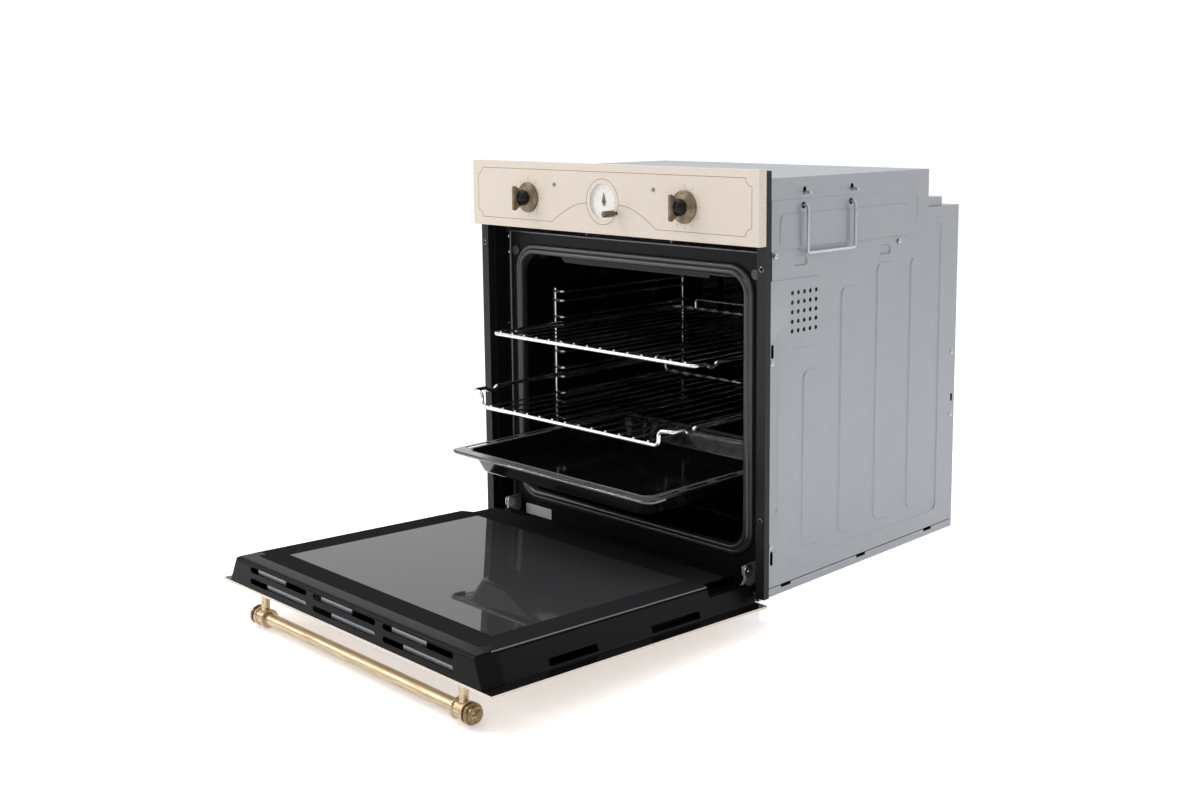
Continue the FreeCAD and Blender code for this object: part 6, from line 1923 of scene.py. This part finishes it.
@dataclass
class Door(SubAssembly):
    """Drop-down door with its glass, black frame, hinges and brass handle, drawn closed."""

    swing: DoorSwing = DoorSwing()
    bar_y: float = -67.0
    bar_z: float = 471.5
    post_x: float = 221.0
    bar_end: float = 236.0
    pane_back: float = -23.0
    inner_face: float = 14.0
    glass_half: float = 263.0
    glass_low: float = 94.0
    glass_high: float = 466.0
    arm_x: float = 255.5
    arm_sheet: float = 4.0
    lever_sheet: float = 1.4
    cap_top: float = 492.0
    cap_sheet: float = 1.5
    cap_lip: float = 24.0
    cap_bend: float = 6.0
    cap_half: float = 279.5
    cap_lean: float = 15.0 / 33.0
    slot_middles: tuple[float, ...] = (-156.0, 0.0, 156.0)
    slot_half: float = 70.0
    slot_width: float = 8.0
    post_profile: tuple[Flat, ...] = (
        (6.2, 10.5), (6.2, 34.0), (7.0, 36.5), (9.2, 38.0), (9.4, 40.0), (0.0, 40.0))
    sleeve_profile: tuple[Flat, ...] = (
        (8.75, -11.0), (12.6, -11.0), (13.5, -10.2), (13.5, -8.8), (12.6, -8.0), (11.4, -7.6), (11.2, 0.0),
        (11.4, 7.6), (12.6, 8.0), (13.5, 8.8), (13.5, 10.2), (12.6, 11.0), (8.75, 11.0))
    finial_profile: tuple[Flat, ...] = (
        (0.0, 0.0), (12.8, 0.0), (13.5, 0.8), (13.5, 3.4), (12.6, 4.3), (11.0, 4.6), (10.8, 5.4),
        (10.8, 8.2), (10.0, 9.0), (7.4, 9.4), (6.6, 10.4), (5.6, 12.6), (3.4, 13.8), (0.0, 14.0))

    def build(self) -> None:
        """Builds and dresses the door."""
        self.soften(door_outer_panel=0.8, door_inner_glass=0.6, left_door_stile=0.4, right_door_stile=0.4,
                    door_bottom_rail=0.4, handle_bar=0.0)
        for name, _ in SIDES:
            self.dresser.soften(f"{name}_hinge_arm", 0.4, "arm_steel")
        self.dresser.soften("hinge_channels", 0.3, "frame_black")
        self.dresser.paint("hinge_pins", "hinge_springs")
        self.hinge_levers()
        self.glass_edges()
        self.top_cap()
        self.slot_plates()
        self.handle_ends()

    def hinge_levers(self) -> None:
        """Bends a locking lever over each hinge arm: two cheeks, a bridge and a rivet."""
        levers = Shape()
        cheek = rounded_rectangle(-6.0, 9.0, 31.0, 47.0, 5.0, 5)
        for _, side in SIDES:
            middle = side * self.arm_x
            for face in (-1, 1):
                levers.plate(cheek, Axis.RIGHT, middle + face * self.arm_sheet / 2, face * self.lever_sheet)
            bridge = rounded_rectangle(middle - 3.4, middle + 3.4, -2.0, 21.0, 1.5, 3)
            levers.plate(bridge, Axis.UP, 45.5, 1.5)
            levers.lathe([(0.0, -4.5), (2.2, -4.5), (3.2, -3.4), (3.2, 3.4), (2.2, 4.5), (0.0, 4.5)],
                         (middle, 1.5, 39.0), Axis.RIGHT, 24)
        self.fit(levers, "hinge_levers", "zinc_steel", CHASSIS, "zinc_steel")

    def glass_edges(self) -> None:
        """Grinds the long edges of the inner glass, which catch the light as pale lines."""
        strips = Shape()
        outline = corners_of(self.inner_face - 1.5, self.inner_face + 0.15, self.glass_low, self.glass_high)
        for _, side in SIDES:
            strips.plate(outline, Axis.RIGHT, side * self.glass_half, side * 0.3)
        self.fit(strips.turned(self.swing.opening()), "glass_edges", "ground_edge", DOOR, "smoked_glass")

    def half_at(self, along: float) -> float:
        """Returns half the door frame's width at a depth of the closed door."""
        return self.cap_half - self.cap_lean * (along - self.pane_back)

    def cap_section(self) -> list[Flat]:
        """Returns the section of the cap's sheet with its round bend.

        Returns:
            The section's points in Y and Z.
        """
        lip = self.cap_top - self.cap_lip
        turns = [math.pi / 2 * step / 8 for step in range(9)]
        arcs = [[(self.inner_face - self.cap_bend + radius * math.sin(turn),
                  self.cap_top - self.cap_bend + radius * math.cos(turn)) for turn in turns]
                for radius in (self.cap_bend, self.cap_bend - self.cap_sheet)]
        ends = [(self.inner_face, lip), (self.inner_face - self.cap_sheet, lip)]
        return [(self.pane_back, self.cap_top), *arcs[0], *ends, *reversed(arcs[1]),
                (self.pane_back, self.cap_top - self.cap_sheet)]

    def top_cap(self) -> None:
        """Bends the cap with its round lip, its vent slots, its ears and its side returns."""
        section = self.cap_section()
        bent = Shape()
        bent.loft([[(side * self.half_at(along), along, height) for along, height in section]
                   for _, side in SIDES])
        slots = Shape()
        for front in (-16.0, 0.0):
            for middle in self.slot_middles:
                outline = rounded_rectangle(middle - self.slot_half, middle + self.slot_half, front,
                                            front + self.slot_width, 3.9, 6)
                slots.plate(outline, Axis.UP, self.cap_top - 4.0, 8.0)
        lacquer = self.finish("cap_black")
        sheet = carved("cap_sheet", bent.piece("cap_blank", lacquer, BENT_ANGLE),
                       slots.piece("cap_slots", lacquer))
        ends = Shape()
        ear = ((246.0, 456.0), (259.0, 456.0), (262.5, 468.5), (246.0, 468.5))
        side_return = corners_of(self.pane_back + 0.3, self.inner_face - 2.0, 458.0, self.cap_top - 0.5)
        for _, side in SIDES:
            ends.plate([(side * across, height) for across, height in ear], Axis.BACK,
                       self.inner_face - 0.6, 0.8)
            ends.slab([(side * self.half_at(along), along, height) for along, height in side_return],
                      (side * 0.73, 0.33, 0.0))
        cap = join("bent_cap", [sheet, ends.piece("cap_ends", lacquer)])
        cap.data.transform(Matrix.Scale(MM, 4) @ self.swing.opening() @ Matrix.Scale(1 / MM, 4))
        self.dresser.stand_in(cap, "door_top_cap")

    def slot_plates(self) -> None:
        """Puts bright plates behind the cap's slots, as the door's hollow shows through them."""
        plates = Shape()
        for middle in self.slot_middles:
            for front, start, end in ((-17.0, -34.0, 68.0), (-1.0, -58.0, 12.0)):
                outline = corners_of(middle + start, middle + end, front, front + 9.0)
                plates.plate(outline, Axis.UP, 486.0, 0.8)
        plates.turned(self.swing.opening())
        self.fit(plates, "slot_plates", "galvanised_steel", DOOR, "galvanised_steel")

    def handle_ends(self) -> None:
        """Turns the handle's posts with their ringed sleeves, and the stepped finials on the bar's ends."""
        posts = Shape()
        finials = Shape()
        for _, side in SIDES:
            foot = (side * self.post_x, self.bar_y, self.bar_z)
            posts.lathe(self.post_profile, foot, Axis.BACK, 32)
            posts.lathe(self.sleeve_profile, foot, Axis.RIGHT, 40)
            finials.lathe([(radius, side * distance) for radius, distance in self.finial_profile],
                          (side * self.bar_end, self.bar_y, self.bar_z), Axis.RIGHT, 40)
        opening = self.swing.opening()
        self.replace("handle_posts", posts.turned(opening), "turned_posts", "aged_brass")
        self.replace("handle_finials", finials.turned(opening), "turned_finials", "dark_brass")


# Studio


@dataclass(frozen=True)
class SoftBox:
    """One soft box: its place, target and size in metres, and its power in watts."""

    name: str
    place: Point
    target: Point
    size: Flat
    power: float

    def hang(self) -> None:
        """Hangs the light."""
        lamp = bpy.data.lights.new(self.name, "AREA")
        lamp.shape = "RECTANGLE"
        lamp.size, lamp.size_y = self.size
        lamp.energy = self.power
        holder = new_object(self.name, lamp)
        holder.location = self.place
        aim = Vector(self.target) - Vector(self.place)
        holder.rotation_euler = aim.to_track_quat("-Z", "Y").to_euler()


@dataclass
class Studio:
    """Pale floor, soft light and the camera."""

    floor_z: float = -0.0385
    floor_reach: float = 30000.0
    floor_glow: float = 0.3
    camera_place: Point = (1.474299, -1.4397453, 0.6807633)
    yaw: float = 0.7668
    pitch: float = 0.1398
    roll: float = 0.0044
    focal_px: float = 1397.85
    image_px: float = 1200.0
    sensor: float = 36.0
    shift: Flat = (-0.0487, -0.08)
    bright_side: Point = (-0.45, 0.72, 0.5)
    dim_glow: float = 0.4
    bright_glow: float = 1.04
    lights: tuple[SoftBox, ...] = (
        SoftBox("key_light", (-1.7, -1.8, 3.0), (0.0, -0.1, 0.3), (1.6, 1.6), 38.0),
        SoftBox("top_light", (0.1, 0.1, 2.8), (0.0, 0.1, 0.4), (2.0, 2.0), 16.0),
        SoftBox("rake_light", (1.5, -2.5, 2.3), (0.2, 0.0, 0.3), (0.6, 0.6), 12.0),
        SoftBox("side_light", (1.7, 1.7, 1.5), (0.28, 0.2, 0.5), (1.0, 1.0), 5.0),
        SoftBox("left_strip", (-2.41, -2.0, 1.2), (0.0, 0.2, 0.2), (0.07, 0.8), 9.0),
        SoftBox("front_strip", (-1.9, -2.4, 1.1), (0.0, 0.2, 0.2), (0.07, 0.8), 9.0),
    )

    def build(self) -> None:
        """Builds the floor, the lights and the camera."""
        self.floor()
        self.surround()
        for light in self.lights:
            light.hang()
        self.camera()

    def floor(self) -> None:
        """Lays the pale floor and the block that the body stands on."""
        paper = GrainedCoat("studio_paper", "#FCFCFC", 0.9, specular=0.0, grain_mm=2.0, depth=0.02).build()
        shader = paper.node_tree.nodes["Principled BSDF"]
        shader.inputs["Emission Color"].default_value = WHITE
        shader.inputs["Emission Strength"].default_value = self.floor_glow
        low = self.floor_z / MM
        reach = self.floor_reach
        ground = Shape()
        ground.plate(corners_of(-reach, reach, -reach, reach), Axis.UP, low, -20.0)
        block = Shape()
        block.plate(corners_of(-262.0, 262.0, 22.0, 472.0), Axis.UP, low, -low)
        ground.piece("studio_floor", paper)
        block.piece("studio_block", paper)

    def surround(self) -> None:
        """Sets a surround that looks white and gives more light from its bright side."""
        scene = bpy.context.scene
        scene.view_settings.view_transform = "Standard"
        world = bpy.data.worlds.new("studio_world")
        scene.world = world
        world.use_nodes = True
        tree = world.node_tree
        background = tree.nodes["Background"]
        background.inputs["Color"].default_value = WHITE
        direction = add_node(tree, "ShaderNodeTexCoord")
        towards = add_node(tree, "ShaderNodeVectorMath", {"operation": "DOT_PRODUCT"},
                           {0: direction.outputs["Generated"], 1: self.bright_side})
        nodes = Surface(tree, background, direction.outputs["Generated"])
        glow = nodes.span(towards.outputs["Value"], (0.0, 0.5), (self.dim_glow, self.bright_glow),
                          smooth=True)
        path = add_node(tree, "ShaderNodeLightPath")
        nodes.drive("Strength", nodes.combine("MAXIMUM", path.outputs["Is Camera Ray"], glow))

    def camera(self) -> None:
        """Sets the camera at the photograph's viewing angle."""
        data = bpy.data.cameras.new("studio_camera")
        data.sensor_width = self.sensor
        data.lens = self.focal_px / self.image_px * self.sensor
        data.shift_x, data.shift_y = self.shift
        data.clip_end = 200.0
        level = math.cos(self.pitch)
        forward = Vector((-math.sin(self.yaw) * level, math.cos(self.yaw) * level, -math.sin(self.pitch)))
        right = Vector((math.cos(self.yaw), math.sin(self.yaw), 0.0))
        down = forward.cross(right)
        tilted_right = right * math.cos(self.roll) + down * math.sin(self.roll)
        tilted_down = down * math.cos(self.roll) - right * math.sin(self.roll)
        turn = Matrix((tilted_right, -tilted_down, -forward)).transposed()
        holder = new_object("studio_camera", data)
        holder.matrix_world = Matrix.Translation(self.camera_place) @ turn.to_4x4()
        bpy.context.scene.camera = holder


def main() -> None:
    """Dresses the oven, sub-assembly by sub-assembly."""
    logging.basicConfig(level=logging.INFO, format="%(name)s: %(message)s")
    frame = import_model()
    dresser = Dresser.from_frame(frame)
    growth = Growth()
    Studio().build()
    for group in (Housing, Front, Cavity, Racks, Controls, Door):
        group(dresser, growth).build()


if __name__ == "__main__":
    main()
